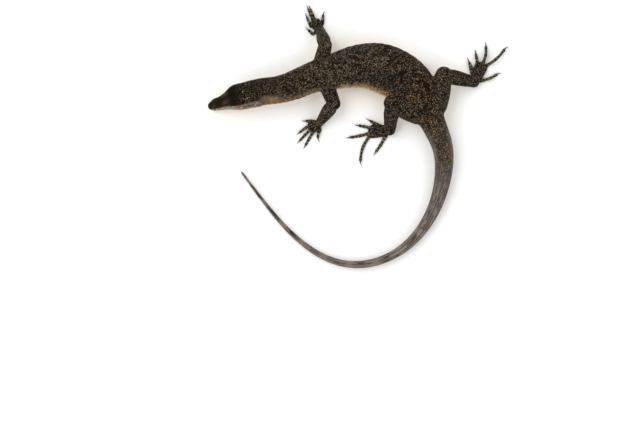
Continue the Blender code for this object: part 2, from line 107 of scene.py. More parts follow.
def add(tree, kind, inputs=None, **settings):
    """A node with its settings and its inputs: each a value, or the output of another node."""
    node = tree.nodes.new(kind)
    for key, value in settings.items():
        setattr(node, key, value)
    for key, value in (inputs or {}).items():
        if isinstance(value, bpy.types.NodeSocket):
            tree.links.new(value, node.inputs[key])
        else:
            node.inputs[key].default_value = value
    return node


def noise(tree, place, scale, detail):
    return add(tree, "ShaderNodeTexNoise", {"Vector": place, "Scale": scale, "Detail": detail}).outputs["Fac"]


def mixed(tree, factor, first, second, blend="MIX"):
    return add(tree, "ShaderNodeMix", {"Factor": factor, "A": first, "B": second}, data_type="RGBA",
               blend_type=blend).outputs["Result"]


print("a screen grey of 128 is light of", round(paint(128, 128, 128)[0], 3))

# %% [markdown]
# ## Floor and light
# A studio table is pale and even, with light from large soft boxes, so that shadows stay faint. The floor
# gets a very fine grain so that it isn't a dead flat colour. Four soft boxes, one small lamp and a pale sky
# do the rest: a large box high on the left of the picture, weaker ones opposite and in front, a low one
# behind that puts a soft gleam on the scales, and the lamp for small crisp lights on eyes and horn.

# %% Floor, soft boxes and sky
FLOOR_SIZE = 30.0
FLOOR_PALE, FLOOR_GRAIN = paint(249, 249, 248), paint(253, 253, 252)
SKY_STRENGTH = 0.74
SOFT_BOXES = (
    ("soft_box_key", (-1.6, 1.4, 2.6), 2.2, 34.0),
    ("soft_box_fill", (2.0, -1.6, 2.4), 2.4, 25.0),
    ("soft_box_rim", (1.4, 2.2, 1.6), 1.8, 12.0),
    ("soft_box_front", (-2.0, -1.2, 1.8), 1.8, 17.0),
    ("small_lamp", (-0.9, 0.5, 2.8), 0.30, 5.0),
)

bpy.context.scene.view_settings.view_transform = "Standard"

floor_mesh = bpy.data.meshes.new("studio_floor")
half = FLOOR_SIZE / 2
floor_corners = [(-half, -half, 0), (half, -half, 0), (half, half, 0), (-half, half, 0)]
floor_mesh.from_pydata(floor_corners, [], [(0, 1, 2, 3)])
studio_floor = new_object("studio_floor", floor_mesh)
floor_paper, tree, shader = new_material("floor_paper")
place = add(tree, "ShaderNodeTexCoord").outputs["Object"]
paper = mixed(tree, noise(tree, place, 60.0, 4.0), FLOOR_PALE, FLOOR_GRAIN)
tree.links.new(paper, shader.inputs["Base Color"])
shader.inputs["Roughness"].default_value = 0.9
shader.inputs["Specular IOR Level"].default_value = 0.1
floor_mesh.materials.append(floor_paper)

sky = bpy.data.worlds.new("pale_sky")
sky.use_nodes = True
sky_light = sky.node_tree.nodes["Background"]
sky_light.inputs["Color"].default_value = paint(250, 250, 250)
sky_light.inputs["Strength"].default_value = SKY_STRENGTH
bpy.context.scene.world = sky

for name, place, size, power in SOFT_BOXES:
    lamp = bpy.data.lights.new(name, "AREA")
    lamp.size = size
    lamp.energy = power
    box_light = new_object(name, lamp)
    box_light.location = place
    box_light.rotation_euler = (-Vector(place)).to_track_quat("-Z", "Y").to_euler()
print("soft boxes:", len(SOFT_BOXES), "sky", SKY_STRENGTH)

# %% [markdown]
# ## The line of the body
# A lizard's trunk and tail are one tube round a bent spine. The tables below are the ones that the solids
# were lofted from: which way the spine heads, how high it lies, and how wide and deep the body is at each
# distance from the snout. Reading one smooth curve from each table keeps the skin inside the solids
# everywhere, which a shape sculpted by hand wouldn't.

# %% Tables along the spine
TOTAL_LENGTH = 1.212
TAIL_START = 0.520
SNOUT_TIP = (-0.3020, 0.0583)
SPINE_STEP = 0.001
HEADING = ((0.000, 15), (0.106, 15), (0.130, 6), (0.160, 15), (0.200, 24), (0.250, 14), (0.300, 12),
           (0.340, -5), (0.380, -24), (0.420, -35), (0.460, -59), (0.500, -66), (0.540, -66),
           (0.600, -89), (0.680, -109), (0.780, -136), (0.880, -171), (0.980, -209),
           (1.080, -228), (1.212, -234))
AXIS_HEIGHT = ((0.000, 0.0125), (0.106, 0.0382), (0.135, 0.0432), (0.160, 0.0445), (0.200, 0.0435),
               (0.250, 0.0395), (0.300, 0.0366), (0.400, 0.0364), (0.450, 0.0335), (0.520, 0.0256))
ROLL = ((0.000, 18.0), (0.105, 18.0), (0.210, 5), (0.500, 2), (0.600, 0), (1.212, 0))
HALF_WIDTH = ((0.000, 0.0008), (0.001, 0.0043), (0.003, 0.0065), (0.007, 0.0089), (0.027, 0.0136),
              (0.046, 0.0178), (0.064, 0.0238), (0.090, 0.0264), (0.104, 0.0274), (0.130, 0.0270),
              (0.185, 0.0298), (0.215, 0.0308), (0.260, 0.0355), (0.315, 0.0434), (0.375, 0.0502),
              (0.410, 0.0490), (0.450, 0.0420), (0.490, 0.0325), (0.520, 0.0255))
TOP = ((0.000, 0.0014), (0.0015, 0.0044), (0.005, 0.0069), (0.018, 0.0129), (0.036, 0.0175), (0.056, 0.0284),
       (0.064, 0.0309), (0.093, 0.0316), (0.119, 0.0305), (0.160, 0.0275), (0.209, 0.0290),
       (0.260, 0.0345), (0.330, 0.0375), (0.400, 0.0370), (0.450, 0.0335), (0.520, 0.0260))
BOTTOM = ((0.000, 0.0012), (0.002, 0.0038), (0.007, 0.0066), (0.027, 0.0116), (0.060, 0.0136),
          (0.077, 0.0146), (0.101, 0.0191), (0.119, 0.0215), (0.160, 0.0250), (0.209, 0.0275),
          (0.250, 0.0335), (0.300, 0.0380), (0.450, 0.0350), (0.520, 0.0268))
SQUARE_TOP = ((0.000, 2.4), (0.012, 2.8), (0.027, 3.6), (0.050, 4.2), (0.068, 4.4), (0.085, 3.4),
              (0.105, 2.6), (0.140, 2.2), (0.520, 2.1), (0.600, 1.8), (1.212, 1.7))
SQUARE_BOTTOM = ((0.000, 2.4), (0.100, 2.4), (0.200, 2.2), (0.300, 2.5), (0.450, 2.5), (0.520, 2.2),
                 (1.212, 2.1))
PINCH = ((0.000, 0.0), (0.020, 0.10), (0.060, 0.08), (0.100, 0.05), (0.140, 0.0), (1.212, 0.0))
TAIL_THINNING, TAIL_LOWERING = 2.35, 1.60
TAIL_FULLNESS = ((0.0, 1.0), (0.42, 1.0), (0.55, 1.09), (0.66, 1.18), (0.80, 1.22), (0.90, 1.16), (1.0, 1.08))
TAIL_TIP_ROUND, TAIL_TIP_SHARE = 0.010, 0.20
TAIL_FLATTENED = 0.045

print("along the spine:", TOTAL_LENGTH, "m, of which snout to vent", TAIL_START, "m")


# %% Reading the tables
def along(table, stations):
    """A smooth value at each station, from a table of (station, value)."""
    x, y = np.array(table, float).T
    s = np.clip(np.asarray(stations, float), x[0], x[-1])
    gap = np.diff(x)
    slope = np.diff(y) / gap
    tangent = np.concatenate(([slope[0]], slope[1:], [slope[-1]]))
    tangent[1:-1] = (slope[:-1] * gap[1:] + slope[1:] * gap[:-1]) / (gap[1:] + gap[:-1])
    tangent[1:-1][slope[:-1] * slope[1:] <= 0] = 0
    k = np.clip(np.searchsorted(x, s) - 1, 0, len(x) - 2)
    t = (s - x[k]) / gap[k]
    return ((2 * t**3 - 3 * t**2 + 1) * y[k] + (t**3 - 2 * t**2 + t) * gap[k] * tangent[k]
            + (3 * t**2 - 2 * t**3) * y[k + 1] + (t**3 - t**2) * gap[k] * tangent[k + 1])


def tail_share(stations):
    """0 at the tail's base, 1 at its tip."""
    return np.clip((np.asarray(stations, float) - TAIL_START) / (TOTAL_LENGTH - TAIL_START), 0, 1)


def thinned(table, thinning, stations):
    """The table's value on head and trunk, and its last value thinned out along the tail to a blunt tip."""
    left = np.clip((TOTAL_LENGTH - np.asarray(stations, float)) / TAIL_TIP_ROUND, 0, 1)
    tip = np.sqrt(np.clip(1 - (1 - left) ** 2, TAIL_TIP_SHARE**2, 1))
    return along(table, stations) * np.exp(-thinning * tail_share(stations)) * tip


print("half width of the neck:", round(float(along(HALF_WIDTH, 0.16)), 4), "m")


# %% Tracing the spine
def trace_spine():
    """Stations, places, headings and climbs of the spine, stepped along its heading."""
    stations = np.arange(0, TOTAL_LENGTH + SPINE_STEP, SPINE_STEP)
    on_floor = along(BOTTOM, stations) * np.exp(-TAIL_LOWERING * tail_share(stations)) * (1 - TAIL_FLATTENED)
    height = np.where(stations < TAIL_START, along(AXIS_HEIGHT, stations), on_floor)
    climb = np.gradient(height, stations)
    heading = np.radians(along(HEADING, stations))
    step = np.sqrt(1 - climb**2)[:, None] * np.stack((np.cos(heading), np.sin(heading)), 1) * SPINE_STEP
    plan = np.array(SNOUT_TIP) + np.concatenate((np.zeros((1, 2)), np.cumsum((step[1:] + step[:-1]) / 2, 0)))
    return stations, np.column_stack((plan, height)), heading, np.arcsin(climb)


SPINE, SPINE_PLACES, SPINE_HEADINGS, SPINE_CLIMBS = trace_spine()


def spine_frames(stations):
    """The axis at each station, and the directions toward the tail, to the animal's right, and up."""
    s = np.asarray(stations, float)
    centre = np.stack([np.interp(s, SPINE, SPINE_PLACES[:, i]) for i in range(3)], -1)
    heading, climb = np.interp(s, SPINE, SPINE_HEADINGS), np.interp(s, SPINE, SPINE_CLIMBS)
    roll = np.radians(along(ROLL, s))[..., None]
    back = np.stack((np.cos(climb) * np.cos(heading), np.cos(climb) * np.sin(heading), np.sin(climb)), -1)
    level = np.stack((-np.sin(heading), np.cos(heading), np.zeros_like(heading)), -1)
    upright = np.cross(back, level)
    right = level * np.cos(roll) - upright * np.sin(roll)
    return centre, back, right, upright * np.cos(roll) + level * np.sin(roll)


print("spine traced,", len(SPINE), "stations; tail tip at", np.round(SPINE_PLACES[-1], 3))

# %% [markdown]
# ## Round the body
# Every section is a squared ellipse: boxy on the head, round on the trunk, tall on the tail. A place on the
# body is then two numbers: how far from the snout, and how far round, where 0 is the middle of the back, 1
# the middle of the belly, and the sign says right (+) or left. Spacing places evenly along the section,
# rather than by angle, keeps scales and faces the same size everywhere. A table of half sections, worked
# out once, serves both.

# %% Half sections, evenly spaced
COAT_DEPTH = 0.0006
FLOOR_GAP = 0.0004
HALF_SAMPLES = 96
GIRTH_STEPS = np.arange(HALF_SAMPLES + 1) / HALF_SAMPLES
LEAST_WIDTH, LEAST_HEIGHT = 0.0003, 0.0004
FINE_ANGLES = 361


def half_sections():
    """Across and above at each station, for even steps from the middle of the back to that of the belly."""
    angles = np.linspace(math.pi / 2, -math.pi / 2, FINE_ANGLES)
    share_across, share_above = np.abs(np.cos(angles)), np.sin(angles)
    s = SPINE[:, None]
    fullness = along(TAIL_FULLNESS, tail_share(s))
    width = np.maximum(thinned(HALF_WIDTH, TAIL_THINNING, s) * fullness - COAT_DEPTH, LEAST_WIDTH)
    top, bottom = (np.maximum(thinned(table, TAIL_LOWERING, s) - COAT_DEPTH, LEAST_HEIGHT)
                   for table in (TOP, BOTTOM))
    upper = share_above > 0
    power = np.where(upper, 2 / along(SQUARE_TOP, s), 2 / along(SQUARE_BOTTOM, s))
    across = width * share_across**power
    above = np.where(upper, top, bottom) * np.sign(share_above) * np.abs(share_above) ** power
    across = across * (1 - along(PINCH, s) * np.maximum(above, 0) / top)
    length = np.cumsum(np.hypot(np.diff(across, axis=1), np.diff(above, axis=1)), axis=1)
    length = np.concatenate((np.zeros((len(SPINE), 1)), length), axis=1)
    steps = np.linspace(0, 1, HALF_SAMPLES + 1)
    even = [[np.interp(steps * row[-1], row, values[i]) for values in (across, above)]
            for i, row in enumerate(length)]
    return np.array(even)[:, 0], np.array(even)[:, 1], length[:, -1]


ACROSS, ABOVE, HALF_ROUND = half_sections()


def looked_up(table, stations, girths):
    """A value of a half-section table between its points."""
    i = np.clip(np.asarray(stations) / SPINE_STEP, 0, len(SPINE) - 1.001)
    j = np.clip(np.abs(girths) * HALF_SAMPLES, 0, HALF_SAMPLES - 0.001)
    i0, j0 = i.astype(int), j.astype(int)
    fi, fj = i - i0, j - j0
    return ((table[i0, j0] * (1 - fj) + table[i0, j0 + 1] * fj) * (1 - fi)
            + (table[i0 + 1, j0] * (1 - fj) + table[i0 + 1, j0 + 1] * fj) * fi)


def half_round(stations):
    return np.interp(stations, SPINE, HALF_ROUND)


print("longest way round the trunk:", round(2 * HALF_ROUND.max() * 1000), "mm")

# %% [markdown]
# ## Modelling the head in relief
# A monitor's head is a long flat wedge. What makes it alive is relief: a shelf over each eye, a groove
# between them, a hollow in front of the eye, swollen jaw muscles behind it, a mouth line from the snout to
# under the eye, a nostril near the tip, lids that sink toward the eyeball, and an ear drum in a shallow
# pit. One could sculpt these with brushes. Here each is a smooth push along the surface, written as a
# formula in millimetres, so every feature has a place and a depth that can be read and changed.

# %% Small shaping helpers
EYE_PLACE = (63.7, 14.2, 11.0)  # millimetres: back from the snout, sideways, above the mouth line
EYE_RADIUS = 7.8
LID_OPENING = 6.1
OPENING_LONG, OPENING_HIGH = 1.06, 0.97  # the lids' opening is a little longer than high
NOSTRIL_PLACE, NOSTRIL_RADII = (16.0, 3.6), (4.3, 2.9)
NOSTRIL_FOLD, FOLD_RADII = (17.3, 3.4), (3.6, 2.5)
EAR_PLACE, EAR_RADII = (105.2, 4.6), (5.6, 7.2)
MOUTH_HEIGHT, MOUTH_LENGTH = -0.5, 80.0


def swell(value, centre, width):
    """1 at the centre, fading to 0 on both sides."""
    return np.exp(-(((value - centre) / width) ** 2))


def ramp(low, high, value):
    """0 below low, 1 above high, smooth between."""
    t = np.clip((np.asarray(value, float) - low) / (high - low), 0, 1)
    return t * t * (3 - 2 * t)


def oval_distance(x, z, middle, radii, lean=0.0):
    """How far from an oval's middle, seen from the side, where 1 is its edge."""
    return np.hypot((x - middle[0]) / radii[0], (z - middle[1] - lean) / radii[1])


def eye_distance(x, z):
    """From the eye's middle, in millimetres, as the lids have several edges."""
    return oval_distance(x, z, EYE_PLACE[::2], (OPENING_LONG, OPENING_HIGH))


def ear_distance(x, z):
    return oval_distance(x, z, EAR_PLACE, EAR_RADII)


def nostril_distance(x, z):
    return oval_distance(x, z, NOSTRIL_PLACE, NOSTRIL_RADII, 0.25 * (x - NOSTRIL_PLACE[0]))


def fold_distance(x, z):
    """From the middle of the fold of skin that half fills the nostril."""
    return oval_distance(x, z, NOSTRIL_FOLD, FOLD_RADII)


print("a ramp from 0 to 1, a quarter of the way:", float(ramp(0, 1, 0.25)))


# %% Relief of the head
def head_relief(x, y, z):
    """Push outward at places of the head's side or top, all in millimetres."""
    side = ramp(0.55, 0.85, y / np.maximum(along(HALF_WIDTH, x / 1000) * 1000, 1))
    top = ramp(8, 14, z)
    push = 1.2 * swell(x, 63, 10) * swell(y, 13.5, 5) * ramp(18, 24, z)  # over the eye
    push += 1.5 * swell(x, 62, 13) * swell(z, 21.0, 3.0) * side  # the edge of that shelf
    push -= 0.9 * swell(y, 0, 4) * ramp(38, 52, x) * (1 - ramp(84, 100, x)) * top  # groove between the brows
    push -= 0.5 * swell(y, 8, 2.5) * swell(x, 42, 13) * top  # beside the muzzle's bridge
    push -= 1.3 * swell(x, 40, 11) * swell(z, 8, 4.0) * side  # in front of the eye
    push += 0.6 * swell(x, 17, 6) * swell(z, 5, 4) * side  # muzzle round the nostril
    push += 0.9 * swell(x, 90, 9) * swell(z, 9, 7) * side  # jaw muscle
    push += 0.8 * swell(x, 93, 10) * swell(z, -9, 5) * side  # corner of the jaw
    push -= 0.8 * swell(x, 98, 2.2) * swell(z, 3, 8) * side  # crease before the ear
    push -= 0.8 * swell(z, -6.5 - 0.15 * (x - 90), 1.3) * ramp(80, 88, x) * side  # crease behind the mouth
    push -= 0.6 * swell(x + 0.5 * z, 114, 1.8) * swell(z, 2, 9) * side  # crease behind the ear
    mouth = ramp(0.6, 3, x) * (1 - ramp(MOUTH_LENGTH - 4, MOUTH_LENGTH + 1, x)) * ramp(0.05, 0.3, y / 10)
    push -= 0.75 * swell(z, MOUTH_HEIGHT, 0.42) * mouth
    push += (0.40 * swell(z, 1.3, 1.2) + 0.25 * swell(z, -2.3, 1.2)) * mouth  # lips
    nostril = nostril_distance(x, z)
    push += side * (0.50 * swell(nostril, 1.30, 0.28) - 1.9 * (1 - ramp(0.50, 1.08, nostril)))
    push += side * 1.5 * (1 - ramp(0.20, 0.85, fold_distance(x, z)))  # the fold in it
    ear = ear_distance(x, z)
    leaning = 1.8 + 0.24 * (z - EAR_PLACE[1])  # its drum faces up a little
    rim = 0.5 * swell(ear, 1.22, 0.20) * (1 - ramp(0, 6, z - EAR_PLACE[1]))
    return push + side * (rim - leaning * (1 - ramp(0.74, 1.02, ear)))


def lid_awning(up):
    """How far the upper lid's edge stands out over the lower one's, by how far up from the eye's middle."""
    return 1.9 * ramp(-0.1, 0.9, up)


def eye_socket(x, y, z):
    """Where the lids that sink to the eyeball lie sideways, and how much that counts at each place."""
    r = eye_distance(x, z)
    ball = EYE_PLACE[1] + np.sqrt(np.maximum(EYE_RADIUS**2 - np.minimum(r, 7.7) ** 2, 0))
    lid_edge = EYE_PLACE[1] + math.sqrt(EYE_RADIUS**2 - LID_OPENING**2) + 0.55
    lid_edge = lid_edge + lid_awning((z - EYE_PLACE[2]) / np.maximum(r, 1))
    wrinkles = 0.16 * np.sin((r - LID_OPENING) * 2 * math.pi / 1.25) * swell(r, 8.4, 1.6)
    lids = lid_edge + (y - lid_edge) * ramp(LID_OPENING - 0.6, 10.4, r) + 0.6 * swell(r, 7.1, 0.6) + wrinkles
    inside = ramp(LID_OPENING - 0.35, LID_OPENING + 0.05, r)
    sunk = (ball - 1.2) * (1 - inside) + lids * inside
    return sunk, (1 - ramp(9.6, 11.0, r)) * ramp(4, 12, y)


print("eye opening", 2 * LID_OPENING, "mm, ear", 2 * EAR_RADII[1], "mm high")

# %% [markdown]
# ## Folds of the neck and trunk
# Loose skin folds where the animal bends: rings round the throat, the long fold of the flank, and short
# creases on the inner side of the curve. The back has two long muscles with a shallow valley between. These
# are pushes like those of the head, with waves that wander a little so they don't look ruled.

# %% Relief of neck, trunk and tail
def body_relief(s, girth):
    """Push outward, in millimetres, behind the head."""
    turn = np.abs(girth)
    wander = np.sin(23 * girth + 60 * s) + 0.6 * np.sin(51 * girth - 95 * s)
    neck = ramp(0.114, 0.128, s) * (1 - ramp(0.205, 0.225, s))
    push = 0.42 * np.sin(s * 2 * math.pi / 0.0105 + 0.7 * wander) * neck * ramp(0.32, 0.60, turn)
    push -= 1.5 * swell(s, 0.208, 0.0028) * ramp(0.50, 0.70, turn)  # the fold across the throat
    push -= 1.0 * swell(s, 0.172 + 0.01 * (turn - 0.5), 0.003) * ramp(0.36, 0.5, turn)
    trunk = ramp(0.245, 0.285, s) * (1 - ramp(0.455, 0.490, s))
    push += 0.9 * swell(turn, 0.565 + 0.01 * np.sin(40 * s), 0.035) * trunk
    push -= 0.9 * swell(turn, 0.515 + 0.01 * np.sin(33 * s), 0.030) * trunk
    inner = np.where(girth < 0, swell(s, 0.395, 0.060), 0) * swell(turn, 0.50, 0.13)
    push += 0.75 * np.sin(s * 2 * math.pi / 0.0088 + 0.8 * wander) * inner
    push += 0.30 * np.sin(s * 2 * math.pi / 0.013 + 1.1 * wander) * trunk * ramp(0.3, 0.5, turn)
    back = ramp(0.215, 0.25, s) * (1 - ramp(0.52, 0.60, s))
    push += back * (0.55 * swell(turn, 0.10, 0.06) - 0.6 * swell(turn, 0, 0.035))
    tail = ramp(0.55, 0.62, s) * (1 - ramp(0.9, 1.15, s))
    push += tail * (0.7 * swell(turn, 0, 0.05) - 0.35 * swell(turn, 0.33, 0.10))
    return push


print("push at the fold across the throat:", round(float(body_relief(0.208, 0.9)), 2), "mm")


# %% Places on the body's skin
def lifted(points, least=FLOOR_GAP):
    """The same points, none of them lower than this above the floor."""
    points[..., 2] = np.maximum(points[..., 2], least)
    return points


def body_points(stations, girths, bare=False):
    """Places on the skin of head, trunk and tail; bare leaves the relief out."""
    s, girth = np.broadcast_arrays(np.asarray(stations, float), np.asarray(girths, float))
    centre, _, right, up = spine_frames(s)
    across, above = looked_up(ACROSS, s, girth), looked_up(ABOVE, s, girth)
    if not bare:
        turn = np.abs(girth)
        ahead, behind = np.minimum(turn + 0.01, 1), np.maximum(turn - 0.01, 0)
        da = looked_up(ACROSS, s, ahead) - looked_up(ACROSS, s, behind)
        db = looked_up(ABOVE, s, ahead) - looked_up(ABOVE, s, behind)
        length = np.maximum(np.hypot(da, db), 1e-9)
        x, y, z = s * 1000, across * 1000, above * 1000
        on_head = 1 - ramp(0.111, 0.119, s)
        push = (head_relief(x, y, z) * on_head + body_relief(s, girth) * ramp(0.106, 0.118, s)) / 1000
        across = np.where(turn > 0.003, across - db / length * push, across)
        above = above + da / length * push
        sunk, share = eye_socket(x, across * 1000, z)
        across = across * (1 - share * on_head) + sunk / 1000 * share * on_head
    return lifted(centre + right * (np.sign(girth) * across)[..., None] + up * above[..., None])


print("middle of the back over the hips:", np.round(body_points([0.487], [0.0])[0], 3))

# %% [markdown]
# ## Weaving the body's mesh
# The head needs fine faces for its lids and lips, the trunk fewer and the tail fewer still. The mesh is a
# tube of rings, and the number of points in a ring halves twice on the way back, with a strip of triangles
# at each change. On the head the columns crowd toward the mouth line and follow it, so that the lips stay
# crisp.

# %% Rings
RING_SIDES = ((0.118, 208), (0.535, 104), (TOTAL_LENGTH, 52))
RING_GAPS = ((0.0, 0.0004), (0.006, 0.0007), (0.112, 0.0008), (0.130, 0.0022), (0.500, 0.0028),
             (TOTAL_LENGTH, 0.0040))
MOUTH_CROWDING = 0.085


def ring_stations():
    stations = [0.0004]
    while stations[-1] < TOTAL_LENGTH - 0.0014:
        stations.append(stations[-1] + float(np.interp(stations[-1], *np.transpose(RING_GAPS))))
    return np.minimum(stations, TOTAL_LENGTH - 0.0008)


def mouth_girth(station):
    """How far round the mouth line lies."""
    return np.interp(-MOUTH_HEIGHT / 1000, -ABOVE[int(round(station / SPINE_STEP))], GIRTH_STEPS)


def ring_girths(station, sides):
    """Girths round one ring, from the belly up the left side, over the back and down the right side."""
    share = -1 + 2 * np.arange(sides) / sides
    t = np.abs(share)
    crowded = t + MOUTH_CROWDING * np.sin(2 * math.pi * t)
    mouth = mouth_girth(station)
    warped = np.where(crowded < 0.5, crowded * 2 * mouth, mouth + (crowded - 0.5) * 2 * (1 - mouth))
    held = 1 - float(ramp(0.088, 0.118, station))
    return np.sign(share) * (t * (1 - held) + warped * held)


print("rings from snout to tail tip:", len(ring_stations()))


# %% Faces between rings
def band_faces(a, b, sides, turned=False):
    """Quads between two rings of points, numbered from a and from b."""
    k = np.arange(sides)
    nxt = (k + 1) % sides
    quad = (a + k, a + nxt, b + nxt, b + k) if turned else (a + k, b + k, b + nxt, a + nxt)
    return np.column_stack(quad).tolist()


def fan_faces(tip, start, sides, turned=False):
    """Triangles between one point and the ring numbered from start."""
    edges = [(start + i, start + (i + 1) % sides) for i in range(sides)]
    return [(tip, b, a) if turned else (tip, a, b) for a, b in edges]


print("quads between two squares:", band_faces(0, 4, 4))


# %% The body tube
def weave_body():
    """Points and faces of head, trunk and tail in one closed tube."""
    places, faces, starts, count = [], [], [], 0
    for s in ring_stations():
        sides = next(n for end, n in RING_SIDES if s <= end)
        places.append(np.column_stack((np.full(sides, s), ring_girths(s, sides))))
        starts.append((count, sides))
        count += sides
    points = body_points(*np.concatenate(places).T)
    for (a, n), (b, m) in zip(starts, starts[1:]):
        if n == m:
            faces += band_faces(a, b, n)
            continue
        j = np.arange(m)
        jn, f0, f1, f2 = (j + 1) % m, 2 * j, 2 * j + 1, (2 * j + 2) % n
        faces += np.column_stack((a + f0, b + j, a + f1)).tolist()
        faces += np.column_stack((a + f1, b + j, b + jn)).tolist()
        faces += np.column_stack((a + f1, b + jn, a + f2)).tolist()
    tips = lifted(spine_frames(np.array([0.0, TOTAL_LENGTH]))[0])
    faces += fan_faces(count, *starts[0]) + fan_faces(count + 1, *starts[-1], turned=True)
    return np.concatenate((points, tips)), faces


def mesh_of(name, points, faces):
    mesh = bpy.data.meshes.new(name)
    mesh.from_pydata(points, [], faces)
    mesh.validate()
    return mesh


def read_all(items, key, width, kind=float):
    """One value of every item of a mesh, a row for each."""
    flat = np.empty(len(items) * width, kind)
    items.foreach_get(key, flat)
    return flat.reshape(-1, width)


def points_of(mesh):
    return read_all(mesh.vertices, "co", 3)


body_mesh_points, body_faces = weave_body()
body_tube = new_object("body_tube", mesh_of("body_tube", body_mesh_points, body_faces))
print("body tube:", len(body_mesh_points), "points,", len(body_faces), "faces")

# %% [markdown]
# ## Legs in tubes
# Each leg is an upper muscle, a lower muscle, a palm or sole, and five digits. The tables say how wide each
# is along its bone, and the poses say which way each bone heads on the floor plan. The tubes overlap freely
# here: the next step melts them into one surface, which is how flesh runs from bone to bone without a seam.

# %% Measures and poses of the legs
FORELIMB = {
    "pieces": ("upper_arm", "forearm", "hand"),
    "root": 0.245, "root_spread": 0.020, "root_height": 0.036, "upper": 0.043, "lower": 0.055,
    "upper_radii": ((0.0, 0.0176), (0.5, 0.0156), (1.0, 0.0140)),
    "lower_radii": ((0.0, 0.0104), (0.30, 0.0143), (0.75, 0.0112), (1.0, 0.0088)),
    "wrist_height": 0.0130,
    "foot_widths": ((0.0, 0.0078), (0.5, 0.0112), (1.0, 0.0120)),
    "foot_length": 0.021,
    "reach": (0.0170, 0.0215, 0.0245, 0.0235, 0.0165),
    "digits": (0.012, 0.025, 0.030, 0.031, 0.018),
    "digit_radius": 0.0034, "claw": 0.0095,
}
HINDLIMB = {
    "pieces": ("thigh", "shank", "foot"),
    "root": 0.487, "root_spread": 0.018, "root_height": 0.031, "upper": 0.060, "lower": 0.067,
    "upper_radii": ((0.0, 0.0275), (0.4, 0.0255), (1.0, 0.0176)),
    "lower_radii": ((0.0, 0.0130), (0.35, 0.0158), (0.75, 0.0134), (1.0, 0.0116)),
    "wrist_height": 0.0140,
    "foot_widths": ((0.0, 0.0098), (0.5, 0.0128), (1.0, 0.0140)),
    "foot_length": 0.037,
    "reach": (0.033, 0.039, 0.042, 0.040, 0.017),
    "digits": (0.012, 0.025, 0.040, 0.058, 0.036),
    "digit_radius": 0.0036, "claw": 0.0105,
}
LIMB_FLATNESS = 0.90
LIMB_SHARE = 0.975  # the skin's half width, as a share of the faceted solid's
SOLE_OUTLINE = ((-0.24, 0.25), (-0.15, 0.8), (0.1, 1), (0.9, 1), (1.03, 0.92), (1.12, 0.62), (1.17, 0.2))
FOOT_HEIGHTS = ((0.0, 0.0074), (0.5, 0.0056), (1.0, 0.0042))
PAD_SUNK = 0.0004
CLAW_SEAT = 0.0015
DIGIT_TAPER, KNUCKLE_SWELL = 0.72, 0.18
DIGIT_RISE, RISE_LENGTH = 0.0022, 0.016

# For each leg: side, limb, joint height, headings of upper and lower piece and foot, and for each digit the
# spread of its knuckle, the headings of its halves, the lean of its claw, and the share it covers in plan.
POSES = (
    ("left", FORELIMB, 0.0420, -69, -127, -147,
     ((-44, -33, -33, 0, 1), (-20, 4, 4, 0, 1), (3, 14, 14, 0, 1), (22, 26, 28, 0, 1),
      (58, 24, 60, -60, 0.90))),
    ("right", FORELIMB, 0.0560, 77, 107, 125,
     ((-80, -12, -12, 0, 1), (-30, 12, 12, 0, 0.80), (-2, 13, 13, 0, 0.85), (7, 12, 14, 0, 0.80),
      (52, 39, 39, -60, 0.90))),
    ("left", HINDLIMB, 0.0560, 164, -94, -175,
     ((-29, -34, -34, 0, 1), (-11, -20, -14, 0, 1), (4, 11, 3, 0, 1), (10, 46, 81, -50, 1),
      (51, 57, 49, 0, 1))),
    ("right", HINDLIMB, 0.0380, 72, -11.5, 64,
     ((-37, -46, -46, 0, 0.80), (-15, -36, -36, 0, 0.80), (0, -3, -28, 0, 0.90), (10, 36, 10, -60, 0.92),
      (53, 53, 30, -60, 0.95))),
)

for limb in (FORELIMB, HINDLIMB):
    print(limb["pieces"], "bones of", limb["upper"], "and", limb["lower"], "m")


# %% Tubes of flesh
def heading_vector(degrees):
    return np.array((math.cos(math.radians(degrees)), math.sin(math.radians(degrees)), 0.0))


def tube(kind, path, widths, heights):
    """A tube of flesh round a path of points, level across, with a half width and a half height at each."""
    path = np.array(path, float)
    ahead = np.gradient(path, axis=0)
    ahead /= np.linalg.norm(ahead, axis=1, keepdims=True)
    across = np.cross(ahead, (0.0, 0.0, 1.0))
    across /= np.linalg.norm(across, axis=1, keepdims=True)
    reach = np.concatenate(([0], np.cumsum(np.linalg.norm(np.diff(path, axis=0), axis=1))))
    return {"kind": kind, "path": path, "across": across, "above": np.cross(across, ahead),
            "widths": np.maximum(widths, 0.0002), "heights": np.maximum(heights, 0.0002), "reach": reach}


def tube_points(flesh, distances, angles):
    """Places on a tube, at a distance along it and an angle round it."""
    def read(values):
        return np.interp(distances, flesh["reach"], values)

    place, across, above = (np.stack([read(flesh[key][:, i]) for i in range(3)], -1)
                            for key in ("path", "across", "above"))
    width, height = read(flesh["widths"]) * np.cos(angles), read(flesh["heights"]) * np.sin(angles)
    return lifted(place + across * width[..., None] + above * height[..., None])


print("heading 90 degrees is toward", np.round(heading_vector(90), 3))


# %% Muscles and soles
def muscle(kind, start, finish, radii):
    """From joint to joint, with a round end past each."""
    length = np.linalg.norm(finish - start)
    first, last = radii[0][1], radii[-1][1]
    x = np.concatenate((np.linspace(-first, 0, 9)[:-1], np.linspace(0, length, 40),
                        np.linspace(length, length + last, 9)[1:]))
    past = np.maximum(np.maximum(-x / first, (x - length) / last), 0)
    widths = along(radii, x / length) * np.sqrt(np.maximum(1 - past**2, 0)) * LIMB_SHARE - COAT_DEPTH / 2
    return tube(kind, start + (finish - start) * (x / length)[:, None], widths, widths * LIMB_FLATNESS)


